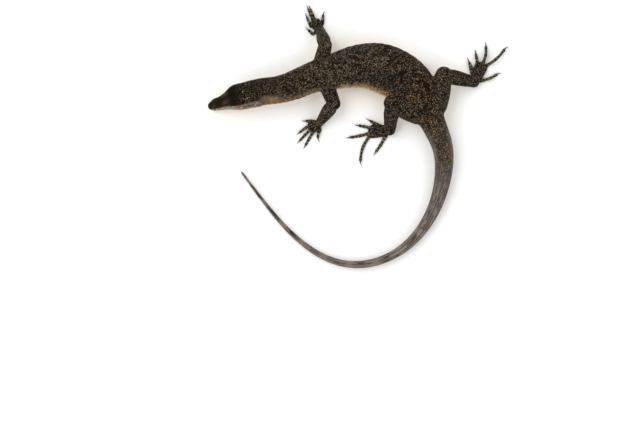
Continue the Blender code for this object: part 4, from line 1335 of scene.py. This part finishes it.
# %% Marks of neck, trunk and tail
def paint_trunk(s, girth, places, chance):
    """Dark with flecks and rings above, cream with dark bars below, ash with dashes and bands on the tail."""
    draw, shade, pick, alone = chance.T
    turn, half = np.abs(girth), half_round(s)
    marks = {name: np.zeros(len(s)) for name in MARKS}
    on_tail, neck = ramp(0.50, 0.58, s), 1 - ramp(0.19, 0.26, s)
    bent_in = (girth < 0) * ramp(0.245, 0.275, s) * (1 - ramp(0.39, 0.44, s))
    bar = s / 0.0125 + 0.35 * drift(places, 0.05, 3)
    tooth = (1 - np.abs(2 * (bar % 1) - 1)) ** 1.4 * (0.35 + 0.65 * hashed(np.floor(bar), np.sign(girth)))
    edge = (0.53 + 0.07 * neck + (0.13 - 0.09 * bent_in) * tooth + 0.16 * on_tail - 0.125 * bent_in
            + 0.03 * (pick - 0.5))
    marks["pale"] = ramp(edge, edge + 0.03, turn)
    near_edge = ramp(edge - 0.15, edge - 0.01, turn) * (1 - on_tail)
    side_of_neck = neck * ramp(0.27, 0.47, turn) * (1 - marks["pale"])
    marks["pale"] += side_of_neck * (pick < 0.40) * (0.20 + 0.40 * shade)
    ring, calm, rust = ocelli(s, girth)
    stroke_row = np.searchsorted(ROW_STATIONS, s)
    stroke = hashed(stroke_row, np.floor(girth * half / 0.0036 + hashed(stroke_row, 8)), np.sign(girth))
    kept = 0.88 + 0.10 * drift(places, 0.025, 5) - 0.6 * calm * (1 - near_edge) - 0.7 * ramp(0.61, 0.70, s)
    kept = kept - 0.55 * on_tail * ramp(0.12, 0.26, turn) - 0.14 * swell(s, 0.43, 0.04)
    more = ((0.02 + 0.07 * (1 - ramp(0.27, 0.38, s))) * ramp(0.12, 0.17, s)
            + 0.03 * ramp(0.43, 0.48, s) * (1 - on_tail) + (0.35 + 0.20 * bent_in) * near_edge)
    flecked = ((alone > 0) & (pick < kept)) | (draw < more)
    flecked |= (stroke < 0.04) & (neck < 0.5) & (calm < 0.5) & (s < 0.66)
    nape = (1 - ramp(0.112, 0.175, s)) * (1 - ramp(0.30, 0.42, turn))
    fleck = flecked * (0.46 + 0.54 * shade + 0.12 * (near_edge > 0.3))
    marks["gold"] = np.clip(np.maximum(fleck, ring), 0, 1)
    marks["pale"] = np.maximum(marks["pale"], 0.35 * near_edge * fleck * (1 - neck))
    greyed = (0.95 - 0.45 * ramp(0.36, 0.50, s) + 0.4 * ramp(0.62, 0.75, s) - 0.6 * near_edge
              + 0.25 * drift(places, 0.02, 6))
    marks["greyed"] = np.clip(greyed, 0, 1)
    wash = swell(s, 0.165, 0.045) * ramp(0.26, 0.42, turn) * (girth < 0)
    marks["warm"] = (0.30 * near_edge * ramp(0.24, 0.30, s) + 0.04 * neck * (1 - marks["pale"])
                     + 0.45 * wash * (0.6 + 0.4 * drift(places, 0.012, 7))
                     + 0.08 * bent_in * marks["pale"] + rust)
    gilt = swell(s, 0.205, 0.030) * ramp(0.26, 0.40, turn) * (girth < 0)
    gilded = np.maximum(0.5 * wash * (pick < 0.4), gilt * (pick < 0.5))
    marks["gold"] = np.maximum(marks["gold"], gilded)
    blush = swell(s, 0.130, 0.022) * ramp(0.18, 0.32, turn) * (girth < 0)
    blush = blush * (0.7 + 0.3 * drift(places, 0.008, 9))
    marks["pale"] = np.maximum(marks["pale"] * (1 - 0.35 * neck), 0.30 * blush * (0.5 + shade))
    marks["warm"] += 0.45 * blush + 0.12 * neck * ramp(0.3, 0.5, turn)
    dark = 0.4 * calm + 0.10 * ramp(0.1, 0.7, drift(places, 0.04, 11)) + 0.12 * nape
    marks["dark"] = np.clip(dark, 0, 1) * (1 - near_edge)
    paint_tail(marks, s, girth, places, chance, on_tail)
    return marks


print("rows of scales that strokes can follow:", len(ROW_STATIONS))


# %% Marks of the head
CAP_EDGE = ((0, 0.5), (5, 2.6), (11, 4.6), (15, 6.2), (22, 7.6), (31, 9.4), (44, 13.4), (54, 18.4),
            (65, 21.6), (76, 21.8), (84, 21.6), (97, 20.6), (117, 18.0), (135, 15.0))


def above_cap_edge(x, z):
    """How far a place on the head's side lies above the lower edge of its dark cap, in millimetres."""
    return z - np.interp(x, *np.transpose(CAP_EDGE))


print("the cap's edge over the eye:", round(float(-above_cap_edge(EYE_PLACE[0], 0.0)), 1), "mm up")


def paint_head(s, girth, places, chance):
    """The dark cap above, the paler face with its streak, lids and lips below, the cream throat."""
    draw, shade, pick, alone = chance.T
    x, y, z = s * 1000, looked_up(ACROSS, s, girth) * 1000, looked_up(ABOVE, s, girth) * 1000
    marks = {name: np.zeros(len(s)) for name in MARKS}
    cap = ramp(-1.0, 1.2, above_cap_edge(x, z) + 1.0 * drift(places, 0.006, 21) + 2.2 * (pick - 0.5))
    side = 1 - ramp(0.80, 0.92, np.abs(girth))
    eye, ear = eye_distance(x, z), ear_distance(x, z)
    lip, chin = swell(z, 0.9, 2.0) * (x < 84), ramp(-1.6, -4.0, z)
    netted = ramp(45, 62, x) * (draw < 0.34 + 0.16 * ramp(4, 12, z))
    # The face gets less cream than its own colour, partly as painted shade on the side of the head.
    face = (0.58 - 0.16 * ramp(44, 60, x) + 0.10 * drift(places, 0.008, 23) + 0.40 * (shade - 0.5)
            - 0.30 * (draw < 0.22) - 0.25 * netted)
    face += 0.20 * swell(z, 18.2, 1.8) * ramp(64, 72, x) + 0.35 * swell(x, 104, 6) * swell(z, 14, 3.5)
    lids = 1 - ramp(9.4, 11.0, eye)
    face = face * (1 - lids) * (1 - 0.30 * ramp(4, 12, z) - 0.25 * ramp(14, 20, z)) + 0.66 * lids + 0.08 * lip
    throat = 0.78 + 0.15 * shade - 0.6 * netted * (1 - ramp(-9, -14, z))
    marks["pale"] = np.clip(face * (1 - chin) + throat * chin, 0, 1) * (1 - cap)
    streak = swell(z, 12.0 - 0.03 * (x - 64), 2.6) * (ramp(38, 46, x) - ramp(92, 100, x))
    streak = streak * ramp(9.0, 10.6, eye)
    bars = (swell(x, 28.6, 3.0) + 0.7 * swell(x, 47, 6.0) + 0.35 * swell(x, 66, 4)) * swell(z, -5, 5.0) * side
    behind = swell(x, 23, 2.6) * swell(z, 4.5, 3.5)
    marks["slate"] = np.clip(0.45 * streak * (0.4 + 0.9 * draw) + 0.50 * bars, 0, 1) * (1 - cap)
    marks["pale"] = marks["pale"] * (1 - 0.4 * streak) * (1 - 0.4 * bars) * (1 - 0.6 * behind)
    marks["ash"] = (0.36 + 0.20 * swell(x, 35, 14)) * (1 - cap) * (1 - chin) * (1 - 0.7 * lids)
    blotch = ramp(0.2, 0.8, drift(places, 0.013, 25)) + swell(ear, 1.2, 0.3)
    blotched = 0.25 * blotch + 0.12 + 0.12 * lids
    marks["warm"] = (1 - ramp(3, 10, x)) * (0.30 + 0.4 * (1 - cap)) + blotched * (1 - cap)
    on_top = (1.00 * swell(x, 43, 8) * swell(y, 8.0, 3.2) + 0.80 * swell(x, 15, 4) * swell(y, 6, 3)
              + 0.60 * swell(x, 36, 14) * swell(above_cap_edge(x, z), 1.5, 1.8))
    marks["warm"] = np.clip(marks["warm"] + cap * on_top * (0.6 + 0.4 * drift(places, 0.006, 27)), 0, 1)
    # Specks on the back of the cap and the temples: partly gold and pale flecks of the hide, partly painted
    # glints of light on the scales, with more on the left side.
    temple_speck_and_glint_share = swell(x, 91, 10) * swell(y, 15, 5) * np.where(girth < 0, 1.0, 0.35)
    specks_and_glints = (alone > 0) | (draw < 0.16 * temple_speck_and_glint_share)
    marks["gold"] = specks_and_glints * (0.16 + 0.40 * shade) * cap * ramp(60, 88, x)
    marks["gold"] += 0.12 * cap * swell(x, 43, 8) * swell(y, 8.0, 3.2)
    marks["pale"] = np.maximum(marks["pale"] * (1 - 0.4 * cap), 0.74 * swell(ear, 1.20, 0.20))
    marks["pale"] = np.maximum(marks["pale"], specks_and_glints * 0.28 * cap * temple_speck_and_glint_share)
    parietal = 1 - ramp(1.2, 2.0, np.hypot(x - 85, np.minimum(y, 30) + 20 * (z < 0)))
    marks["gold"] = np.maximum(marks["gold"], 0.62 * parietal)
    marks["pale"] = np.maximum(marks["pale"], 0.15 * parietal)
    marks["greyed"] = 0.8 * (1 - parietal)
    dark = 0.9 * cap * (1 - 0.7 * marks["warm"]) + (0.20 + 0.20 * ramp(-2, 4, z)) * netted * (1 - cap)
    marks["dark"] = dark * (1 - parietal)
    return marks


# %% Marks of the legs
DIGIT_BANDS = 0.0072


def paint_leg(kind, distance, number, upward, places, chance):
    """Dark and flecked above, cream below, with pale bands across the digits."""
    draw, shade, pick, alone = chance.T
    marks = {name: np.zeros(len(kind)) for name in MARKS}
    under = 1 - ramp(-0.62, -0.18, upward + 0.10 * drift(places, 0.012, 31))
    digit, foot = kind == KINDS["digit"], kind >= KINDS["sole"]
    marks["pale"] = under * np.where(foot, 0.30, 1.0)
    marks["slate"] = under * np.where(foot, 0.75, 0.0)
    flecked = ((alone > 0) & (pick < 0.9 + 0.3 * drift(places, 0.02, 33))) | (draw < 0.05)
    marks["gold"] = flecked * (0.62 + 0.38 * shade) * (1 - under)
    marks["greyed"] = 0.85 + 0.15 * drift(places, 0.03, 35)
    marks["ash"] = 0.04 + 0.03 * drift(places, 0.02, 37)
    band = (distance / DIGIT_BANDS + hashed(number)) % 1
    marks["pale"] = np.maximum(marks["pale"], digit * 0.34 * swell(band, 0.5, 0.12) * (1 - under))
    marks["dark"] = np.where(foot, 0.72, 0.36) * (1 - under) * (1 - np.minimum(marks["pale"] * 2, 1))
    marks["warm"] = 0.15 * under
    return marks


print("pale bands cross the digits every", DIGIT_BANDS, "m")

# %% Painting all roots
FLECK_SPACING = 6  # a lone fleck is one whose draw beats that of this many neighbours

chance = RANDOM.uniform(0, 1, (len(roots), 3))
alone = chance[:, 0] > chance[near[:, :FLECK_SPACING], 0].max(1)
chance = np.column_stack((chance, alone))
marks = np.zeros((len(roots), len(MARKS)))
kind = fact["kind"]


def columns_of(painted):
    return np.column_stack([painted[name] for name in MARKS])


mine = kind <= KINDS["head"]
place_facts = (fact["along"][mine], fact["round"][mine], roots[mine], chance[mine])
behind_head = ramp(0.094, 0.136, fact["along"][mine])[:, None]
trunk_marks, head_marks = (columns_of(painted(*place_facts)) for painted in (paint_trunk, paint_head))
marks[mine] = trunk_marks * behind_head + head_marks * (1 - behind_head)
mine = kind >= KINDS["upper"]
marks[mine] = columns_of(paint_leg(kind[mine], fact["along"][mine], fact["row"][mine], outward[mine, 2],
                                   roots[mine], chance[mine]))
marks[:, MARKS.index("tone")] = 0.5 + 0.20 * drift(roots, 0.02, 41) + 0.6 * (chance[:, 1] - 0.5)
marks = np.clip(marks, 0, 1)
for name, column in zip(MARKS, marks.T):
    print(name, round(float(column.mean()), 3), end="  ")
print()

# %% [markdown]
# ## The hide's material
# One set of nodes serves skin and scales. It reads the marks and mixes the paints one over another, then
# lets a fine noise lighten and darken them, as no two scales are quite alike. The horn of a scale is half
# glossy, so roughness also wanders, and a bump far finer than a scale breaks up the gleam. The skin between
# the scales is a little paler and duller than they are. Eyes and horn use the same few helpers.

# %% Nodes for hide, eye and horn
def stored(tree, name, output="Fac"):
    """What the mesh stores at each point under this name."""
    return add(tree, "ShaderNodeAttribute", attribute_name=name).outputs[output]


def stretched(tree, value, low, high, start=0.0, end=1.0):
    """A value that runs from start to end, made to run from low to high."""
    return add(tree, "ShaderNodeMapRange", {"Value": value, "From Min": start, "From Max": end,
                                            "To Min": low, "To Max": high}).outputs["Result"]


def lightened(tree, colour, light):
    """A colour made lighter or darker by a factor."""
    grey = add(tree, "ShaderNodeCombineColor", {"Red": light, "Green": light, "Blue": light}).outputs["Color"]
    return mixed(tree, 1.0, colour, grey, "MULTIPLY")


def grained(tree, shader, grain, smoothest, roughest, strength, depth):
    """Gloss that wanders with a grain, and a fine bump from the same grain."""
    tree.links.new(stretched(tree, grain, smoothest, roughest), shader.inputs["Roughness"])
    bump = add(tree, "ShaderNodeBump", {"Height": grain, "Strength": strength, "Distance": depth})
    tree.links.new(bump.outputs["Normal"], shader.inputs["Normal"])


# %% Paints and the hide
DARK_HIDE, BROWN_HIDE = paint(10, 7, 3), paint(26, 18, 9)
GOLD, GREY_TAN, ORANGE_GOLD = paint(160, 134, 88), paint(144, 132, 110), paint(158, 108, 66)
ASH, PALE_ASH, RUST = paint(126, 117, 110), paint(186, 172, 156), paint(88, 54, 32)
CREAM, WARM_CREAM = paint(218, 200, 156), paint(208, 162, 112)
SLATE, NEAR_BLACK, SKIN_TAN = paint(84, 84, 90), paint(6, 4, 2), paint(108, 90, 66)


def marked_hide(name, bare_skin):
    """The hide's material, for scales or for the bare skin between them, where a tan shows through."""
    material, tree, shader = new_material(name)
    mark = {key: stored(tree, key) for key in MARKS}
    place = add(tree, "ShaderNodeTexCoord").outputs["Object"]
    mottle, fine = noise(tree, place, 420.0, 3.0), noise(tree, place, 2600.0, 2.0)
    colour = mixed(tree, mark["tone"], DARK_HIDE, BROWN_HIDE)
    colour = mixed(tree, mark["ash"], colour, ASH)
    colour = mixed(tree, mark["dark"], colour, NEAR_BLACK)
    colour = mixed(tree, mark["warm"], colour, RUST)
    golden = mixed(tree, mark["warm"], mixed(tree, mark["greyed"], GOLD, GREY_TAN), ORANGE_GOLD)
    colour = mixed(tree, mark["gold"], colour, golden)
    cream = mixed(tree, mark["ash"], mixed(tree, mark["warm"], CREAM, WARM_CREAM), PALE_ASH)
    colour = mixed(tree, mark["pale"], colour, cream)
    colour = mixed(tree, mark["slate"], colour, SLATE)
    if bare_skin:
        colour = mixed(tree, stored(tree, "tan"), colour, SKIN_TAN)
    colour = lightened(tree, colour, stretched(tree, mottle, 0.62, 1.38))
    tree.links.new(colour, shader.inputs["Base Color"])
    smoothest, roughest = (0.44, 0.64) if bare_skin else (0.24, 0.44)
    grained(tree, shader, fine, smoothest, roughest, 0.25, 0.0003)
    shader.inputs["Specular IOR Level"].default_value = 0.05
    return material


scale_hide, skin_hide = marked_hide("scale_hide", False), marked_hide("skin_hide", True)
print("paints mixed for", scale_hide.name, "and", skin_hide.name)

# %% [markdown]
# ## Building the coat
# The scales of each region become one mesh. A body scale is an outline of eight points sunk in the skin
# with two keel points over it. A head plate is flatter, so it has a shoulder ring under a nearly level top.
# Each scale also gets a tiny patch of its own on a map that unrolls the region like a hide laid flat, where
# a baked colour can find it.

# %% Faces of one scale
BODY_CUT = {"sides": 8, "gap": 0.00020, "longest": 0.95}
HEAD_CUT = {"sides": 12, "gap": 0.00015, "longest": 0.86}


def turns_of(cut):
    """The directions of an outline's points, round from the lie."""
    return 2 * np.pi * (np.arange(cut["sides"]) + 0.5) / cut["sides"]


def scale_parts(turns, head):
    """The faces of one scale: points of its outline come first, then those above."""
    sides = len(turns)
    faces = [tuple(reversed(range(sides)))]
    for i in range(sides):
        n = (i + 1) % sides
        if head:
            faces += [(i, n, sides + n, sides + i), (sides + i, sides + n, 2 * sides)]
            continue
        here, there = (sides + (math.cos(turns[j]) > 0) for j in (i, n))
        faces.append((i, n, here) if here == there else (i, n, there, here))
    return faces


print("faces of a body scale:", len(scale_parts(turns_of(BODY_CUT), False)), "and of a head plate:",
      len(scale_parts(turns_of(HEAD_CUT), True)))


# %% The hide unrolled
def map_places(mine):
    """Where each root lies on its region unrolled flat, from 0 to 1 both ways."""
    s, turn = fact["along"][mine], fact["round"][mine]
    piece = int(fact["piece"][mine[0]])
    if piece < len(BODY_COAT):
        low = BODY_COAT[piece - 1][1] if piece else 0.0
        across, down = (turn + 1) / 2, (s - low) / (BODY_COAT[piece][1] - low)
    else:
        tubes = LEGS[piece - len(BODY_COAT)]["tubes"]
        starts = np.concatenate(([0], np.cumsum([flesh["reach"][-1] + 0.002 for flesh in tubes])))
        across, down = (turn / (2 * np.pi)) % 1, (starts[fact["row"][mine].astype(int)] + s) / starts[-1]
    return 0.005 + 0.99 * np.column_stack((across, down))


print("the first root lies on its map at", np.round(map_places(np.array([0]))[0], 3))

# %% Meshes of scales
SUNK, PATCH = 0.00012, 0.0015
KEEL = ((-0.38, 0.86), (0.42, 1.0))
SHOULDER, SHOULDER_HEIGHT = 0.82, 0.9
RIM_TILT = 0.10
LOWEST = 0.00005  # above the floor


def store(mesh, name, values, kind="FLOAT"):
    """Keeps a value or a vector for each point of the mesh, for its material to read."""
    layer = mesh.attributes.new(name, kind, "POINT")
    layer.data.foreach_set("value" if kind == "FLOAT" else "vector", np.ravel(values).astype(np.float32))


def build_scales(name, mine):
    """One mesh of all the scales of a region."""
    head = name in HEAD_COAT
    cut = HEAD_CUT if head else BODY_CUT
    turns = turns_of(cut)
    parts, count = scale_parts(turns, head), len(mine)
    root, out, back, aside = (values[mine][:, None] for values in (roots, outward, lie, sideways))
    height = fact["height"][mine][:, None, None]
    edge = outline_of(mine, turns, cut["gap"], cut["longest"])[:, :, None]
    way = back * np.cos(turns)[None, :, None] + aside * np.sin(turns)[None, :, None]
    rim = root + way * edge - out * SUNK + out * (RIM_TILT * height * np.cos(turns)[None, :, None])
    patch = np.stack((np.sin(turns), np.cos(turns)), -1)[None] * PATCH * np.ones((count, 1, 1))
    if head:
        upper = root + way * edge * SHOULDER + out * height * SHOULDER_HEIGHT
        points = np.concatenate((rim, upper, root + out * height), axis=1)
        patches = np.concatenate((patch, patch * SHOULDER, patch[:, :1] * 0), axis=1)
    else:
        front, rear = edge[:, [len(turns) // 2]], edge[:, [0]]
        keel = [root + back * (share * reach) + out * height * tall
                for (share, tall), reach in zip(KEEL, (front, rear))]
        points = np.concatenate((rim, *keel), axis=1)
        lean = [patch[:, :1] * 0 + (0, PATCH * share) for share, _ in KEEL]
        patches = np.concatenate((patch, *lean), axis=1)
    each = points.shape[1]
    points = lifted(points.reshape(-1, 3), LOWEST)
    sizes = np.tile([len(face) for face in parts], count)
    corners = (np.concatenate(parts)[None] + each * np.arange(count)[:, None]).ravel()
    mesh = bpy.data.meshes.new(name)
    mesh.vertices.add(len(points))
    mesh.vertices.foreach_set("co", points.ravel())
    mesh.loops.add(len(corners))
    mesh.loops.foreach_set("vertex_index", corners.astype(np.int32))
    mesh.polygons.add(len(sizes))
    mesh.polygons.foreach_set("loop_start", (np.cumsum(sizes) - sizes).astype(np.int32))
    mesh.update(calc_edges=True)
    mesh.shade_smooth()
    places = map_places(mine)[:, None] + patches
    hide_map = mesh.uv_layers.new(name="OFBake")
    hide_map.data.foreach_set("uv", places.reshape(-1, 2)[corners].ravel())
    for label, values in zip(MARKS, marks[mine].T):
        store(mesh, label, np.repeat(values, each))
    mesh.materials.append(scale_hide)
    return new_object(name, mesh)


print("a scale is sunk", SUNK, "m into the skin")

# %% The coat, region by region
COAT_SLOTS = ("head_hide",) * 2 + ("trunk_hide",) * 3 + ("tail_hide",) * 2 + ("leg_hide",) * 4
coat_names = [name for name, _ in BODY_COAT] + list(LEG_COAT)
for index, (name, slot_name) in enumerate(zip(coat_names, COAT_SLOTS)):
    piece = build_scales(name, np.nonzero(fact["piece"] == index)[0])
    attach(piece, "root")
    print(name, int((fact["piece"] == index).sum()), "scales,", len(piece.data.polygons), "faces")

# %% [markdown]
# ## Marks on the skin
# The skin shows in the thin lines between scales and in the bare places: the ear drum, the nostril, the
# mouth line and the socket of the eye. Its points take the mean marks of the three nearest roots, and the
# bare places have paints of their own. Painted shade darkens the socket behind the lids, the drum under
# the upper rim of its pit, and the slit of the nostril.

# %% Skin between the scales
def mark_skin(mesh):
    """Marks for each point of the skin, and one more, tan, which only the skin has."""
    points = points_of(mesh)
    nearest = np.array([[found[1] for found in tree_of_roots.find_n(p, 3)] for p in points.tolist()])
    skin_marks = marks[nearest].mean(1)
    inside = HEAD_FRAME.inverted()
    local = points @ np.array(inside.to_3x3()).T + np.array(inside.translation)
    x, y, z = local[:, 0] * 1000, np.abs(local[:, 1]) * 1000, local[:, 2] * 1000
    on_side = (x < 114) & (y > 3)
    named = dict(zip(MARKS, skin_marks.T))
    facing = (x > -5) & (x < 135)
    cap = facing * ramp(-1.5, 1.5, above_cap_edge(x, z))
    face = facing * (1 - cap) * ramp(-5.5, -1.5, z) * (1 - ramp(118, 134, x))
    named["gold"] = named["gold"] * 0.5
    named["tan"] = 0.02 + cap * (0.04 + 0.10 * (1 - ramp(40, 62, x))) * (1 - ramp(100, 130, x))
    named["pale"] = named["pale"] * (0.88 - (0.40 + 0.30 * ramp(60, 78, x)) * face)
    named["ash"] = named["ash"] * (1 - 0.4 * face)
    drum = on_side & (y > 18) & (ear_distance(x, z) < 1.0)
    # The socket between the lids and the eyeball is painted near black, as painted shade.
    socket = on_side & (y > 10) & (eye_distance(x, z) < LID_OPENING + 0.15)
    nostril = on_side & (nostril_distance(x, z) < 1.05)
    line = on_side & (np.abs(z - MOUTH_HEIGHT) < 0.45) & (x < MOUTH_LENGTH)
    lids = on_side & (y > 10) & (eye_distance(x, z) > LID_OPENING) & (eye_distance(x, z) < 7.2)
    for where, amounts in ((drum, {"pale": 0.16, "warm": 0.60, "ash": 0.3, "tan": 0.16}),
                           (socket, {"dark": 0.9}), (nostril, {"pale": 0.80, "warm": 0.35, "ash": 0.4}),
                           (line, {"dark": 0.3, "warm": 0.5}), (lids, {"pale": 0.60, "slate": 0.35})):
        for name in named:
            named[name][where] = amounts.get(name, 0.0)
    # Painted shade in the hollows: the drum is darkened under the upper rim of its pit, more toward the top,
    # and the nostril's opening is darkened round the fold that half fills it.
    drum_shade_reach = 0.84 - 0.32 * ramp(-2.0, 3.0, z - EAR_PLACE[1])
    drum_rim_shade = drum * ramp(drum_shade_reach - 0.10, drum_shade_reach + 0.10, ear_distance(x, z))
    nostril_slit_shade = (nostril * ramp(0.68, 0.92, fold_distance(x, z))
            * np.maximum(1 - ramp(14.7, 16.3, x), ramp(3.6, 5.2, z)))
    for hollow, warmth in ((drum_rim_shade, 0.2), (nostril_slit_shade, 0.0)):
        for name in named:
            named[name] = named[name] * (1 - hollow)
        named["dark"], named["warm"] = named["dark"] + 0.9 * hollow, named["warm"] + warmth * hollow
    for name, values in named.items():
        store(mesh, name, values)
    mesh.materials.clear()
    mesh.materials.append(skin_hide)


mark_skin(skin_mesh)
print("skin marked at", len(skin_mesh.vertices), "points")

# %% [markdown]
# ## Eyes
# A monitor's eye is a ball in a deep socket: a round navy pupil with a thin pale ring, an iris of streaked
# brick red kept a little darker as painted shade of the lids, and a near-black edge that is painted shade
# where the ball runs under the lids, all behind a wet clear cornea. A real cornea is a second clear shell.
# At this size a clear coat over the painted ball gleams the same. The ball is spun from its own axis, so
# that each point knows how far aside of the pupil it lies and which way round.

# %% Wet eye
# From the pupil out: navy pupil, pale ring, and a streaked brick-red iris kept a little darker than its own
# colour as painted shade of the lids. Then a darker red-brown rim, and near black where the ball runs under
# the lids, which is painted shade.
EYE_STOPS = ((0.00, (12, 15, 28)), (0.098, (20, 25, 46)), (0.106, (112, 98, 98)), (0.118, (104, 54, 42)),
             (0.160, (146, 72, 54)), (0.222, (172, 98, 78)), (0.268, (138, 70, 54)), (0.298, (66, 36, 32)),
             (0.328, (20, 14, 14)))


def eye_material():
    material, tree, shader = new_material("wet_eye")
    rings = add(tree, "ShaderNodeValToRGB", {"Fac": stored(tree, "aside")})
    stops = rings.color_ramp.elements
    stops.remove(stops[1])
    stops[0].color = paint(*EYE_STOPS[0][1])
    for place, colour in EYE_STOPS[1:]:
        stops.new(place).color = paint(*colour)
    streak = stretched(tree, noise(tree, stored(tree, "streak", "Vector"), 7.0, 4.0), 0.78, 1.18, 0.3, 0.7)
    tree.links.new(lightened(tree, rings.outputs["Color"], streak), shader.inputs["Base Color"])
    shader.inputs["Roughness"].default_value = 0.25
    shader.inputs["Specular IOR Level"].default_value = 0.1
    shader.inputs["Coat Weight"].default_value = 0.5
    shader.inputs["Coat Roughness"].default_value = 0.02
    return material


wet_eye = eye_material()
print("paints from pupil to lid:", len(EYE_STOPS))

# %% Eyeballs
EYE_NODES = {"left": 1, "right": -1}
EYE_LEAN = (-0.11, 1.0, -0.02)  # the way it looks, in the head's frame: back, out, up
CORNEA_RAISE, CORNEA_SPREAD = 0.035, 0.45
BALL_RINGS, BALL_SIDES, BALL_START = 40, 64, 0.03


def eyeball(side, material):
    """A ball spun from the pupil back, with a slightly raised cornea."""
    sign = EYE_NODES[side]
    middle = HEAD_FRAME @ (Vector((EYE_PLACE[0], sign * EYE_PLACE[1], EYE_PLACE[2])) / 1000)
    look = (HEAD_FRAME.to_3x3() @ Vector((EYE_LEAN[0], sign * EYE_LEAN[1], EYE_LEAN[2]))).normalized()
    frame_of_eye = look.to_track_quat("Z", "Y").to_matrix()
    aside = np.repeat(np.linspace(BALL_START, math.pi - BALL_START, BALL_RINGS), BALL_SIDES)
    spin = np.tile(2 * np.pi * np.arange(BALL_SIDES) / BALL_SIDES, BALL_RINGS)
    radius = EYE_RADIUS / 1000 * (1 + CORNEA_RAISE * swell(aside, 0, CORNEA_SPREAD))
    local = np.stack((np.sin(aside) * np.cos(spin), np.sin(aside) * np.sin(spin), np.cos(aside)), -1)
    poles = np.array([[0, 0, EYE_RADIUS * (1 + CORNEA_RAISE)], [0, 0, -EYE_RADIUS]]) / 1000
    points = np.concatenate((local * radius[:, None], poles)) @ np.array(frame_of_eye).T + np.array(middle)
    count = BALL_RINGS * BALL_SIDES
    faces = sleeve_faces(count, BALL_SIDES) + fan_faces(count, 0, BALL_SIDES)
    faces += fan_faces(count + 1, count - BALL_SIDES, BALL_SIDES, turned=True)
    mesh = mesh_of(f"eyeball_{side}", points, faces)
    mesh.shade_smooth()
    store(mesh, "aside", np.concatenate((aside, [0, math.pi])) / math.pi)
    streak = np.stack((np.cos(spin), np.sin(spin), 0.12 * aside), -1)
    store(mesh, "streak", np.concatenate((streak, [[0, 0, 0], [0, 0, 0.4]])), "FLOAT_VECTOR")
    mesh.materials.append(material)
    ball = new_object(f"eyeball_{side}", mesh)
    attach(ball, "root")
    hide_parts(f"eye_{side}")
    return ball


eyeballs = [eyeball(side, wet_eye) for side in EYE_NODES]
print("eyeballs:", [ball.name for ball in eyeballs])

# %% [markdown]
# ## Claws
# Each claw is a narrow curved horn, deeper than it is wide, that carries on from the toe and hooks down. It
# is swept along a bending line with rings that shrink to a point. Horn is dark and polished, with growth
# lines along it and a paler, translucent-looking point.

# %% Horn
def horn_material():
    material, tree, shader = new_material("claw_horn")
    lines = noise(tree, add(tree, "ShaderNodeTexCoord").outputs["Object"], 1400.0, 3.0)
    colour = mixed(tree, lines, paint(16, 13, 12), paint(46, 38, 32))
    toward_tip = stretched(tree, stored(tree, "share"), 0.0, 0.6, 0.55, 1.0)
    tree.links.new(mixed(tree, toward_tip, colour, paint(84, 70, 56)), shader.inputs["Base Color"])
    grained(tree, shader, lines, 0.18, 0.45, 0.3, 0.0002)
    return material


dark_horn = horn_material()
print("horn mixed:", dark_horn.name)

# %% Claws
CLAW_RADIUS, CLAW_NARROW, CLAW_TAPER = 0.0019, 0.72, 0.80
CLAW_CURL, CLAW_STEPS, CLAW_SIDES = 74, 14, 12
CLAW_TIP_HEIGHT = 0.0002
CLAW_ROOT = 0.0008  # how far its first ring is inside the toe


def claw(name, node, start, forward, length, lean, material):
    """One claw, from a little inside the toe."""
    hook_axis = Matrix.Rotation(math.radians(-lean), 3, forward) @ forward.cross(Vector((0, 0, 1)))
    turn = Matrix.Rotation(-math.radians(CLAW_CURL) / CLAW_STEPS, 3, hook_axis)
    point, path, shares = start - forward * CLAW_ROOT, [], np.arange(CLAW_STEPS) / CLAW_STEPS
    for _ in range(CLAW_STEPS):
        path.append(point.copy())
        point = point + forward * ((length + CLAW_ROOT) / CLAW_STEPS)
        forward = turn @ forward
    radii = CLAW_RADIUS * (1 - shares) ** CLAW_TAPER
    flesh = tube("claw", path, radii * CLAW_NARROW, radii)
    angles = 2 * np.pi * np.arange(CLAW_SIDES) / CLAW_SIDES
    grid = tube_points(flesh, np.repeat(flesh["reach"], CLAW_SIDES), np.tile(angles, CLAW_STEPS))
    count = len(grid)
    faces = [tuple(range(CLAW_SIDES))] + sleeve_faces(count, CLAW_SIDES)
    faces += fan_faces(count, count - CLAW_SIDES, CLAW_SIDES, turned=True)
    mesh = mesh_of(name, lifted(np.concatenate((grid, [point])), CLAW_TIP_HEIGHT), faces)
    mesh.shade_smooth()
    store(mesh, "share", np.append(np.repeat(shares, CLAW_SIDES), 1.0))
    mesh.materials.append(material)
    horn = new_object(name, mesh)
    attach(horn, "root")
    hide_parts(node)
    return horn


claws = []
for leg in LEGS:
    foot_name = leg["limb"]["pieces"][2] + "_" + leg["side"]
    for index, flesh in enumerate(leg["tubes"][3:]):
        start = Vector(flesh["path"][-1])
        forward = (start - Vector(flesh["path"][-4])).normalized()
        lean = leg["outward"] * leg["poses"][index][3]
        claws.append(claw(f"horn_{foot_name}_{index + 1}", f"claw_{foot_name}_{index + 1}", start, forward,
                          leg["limb"]["claw"], lean, dark_horn))
print("claws:", len(claws))
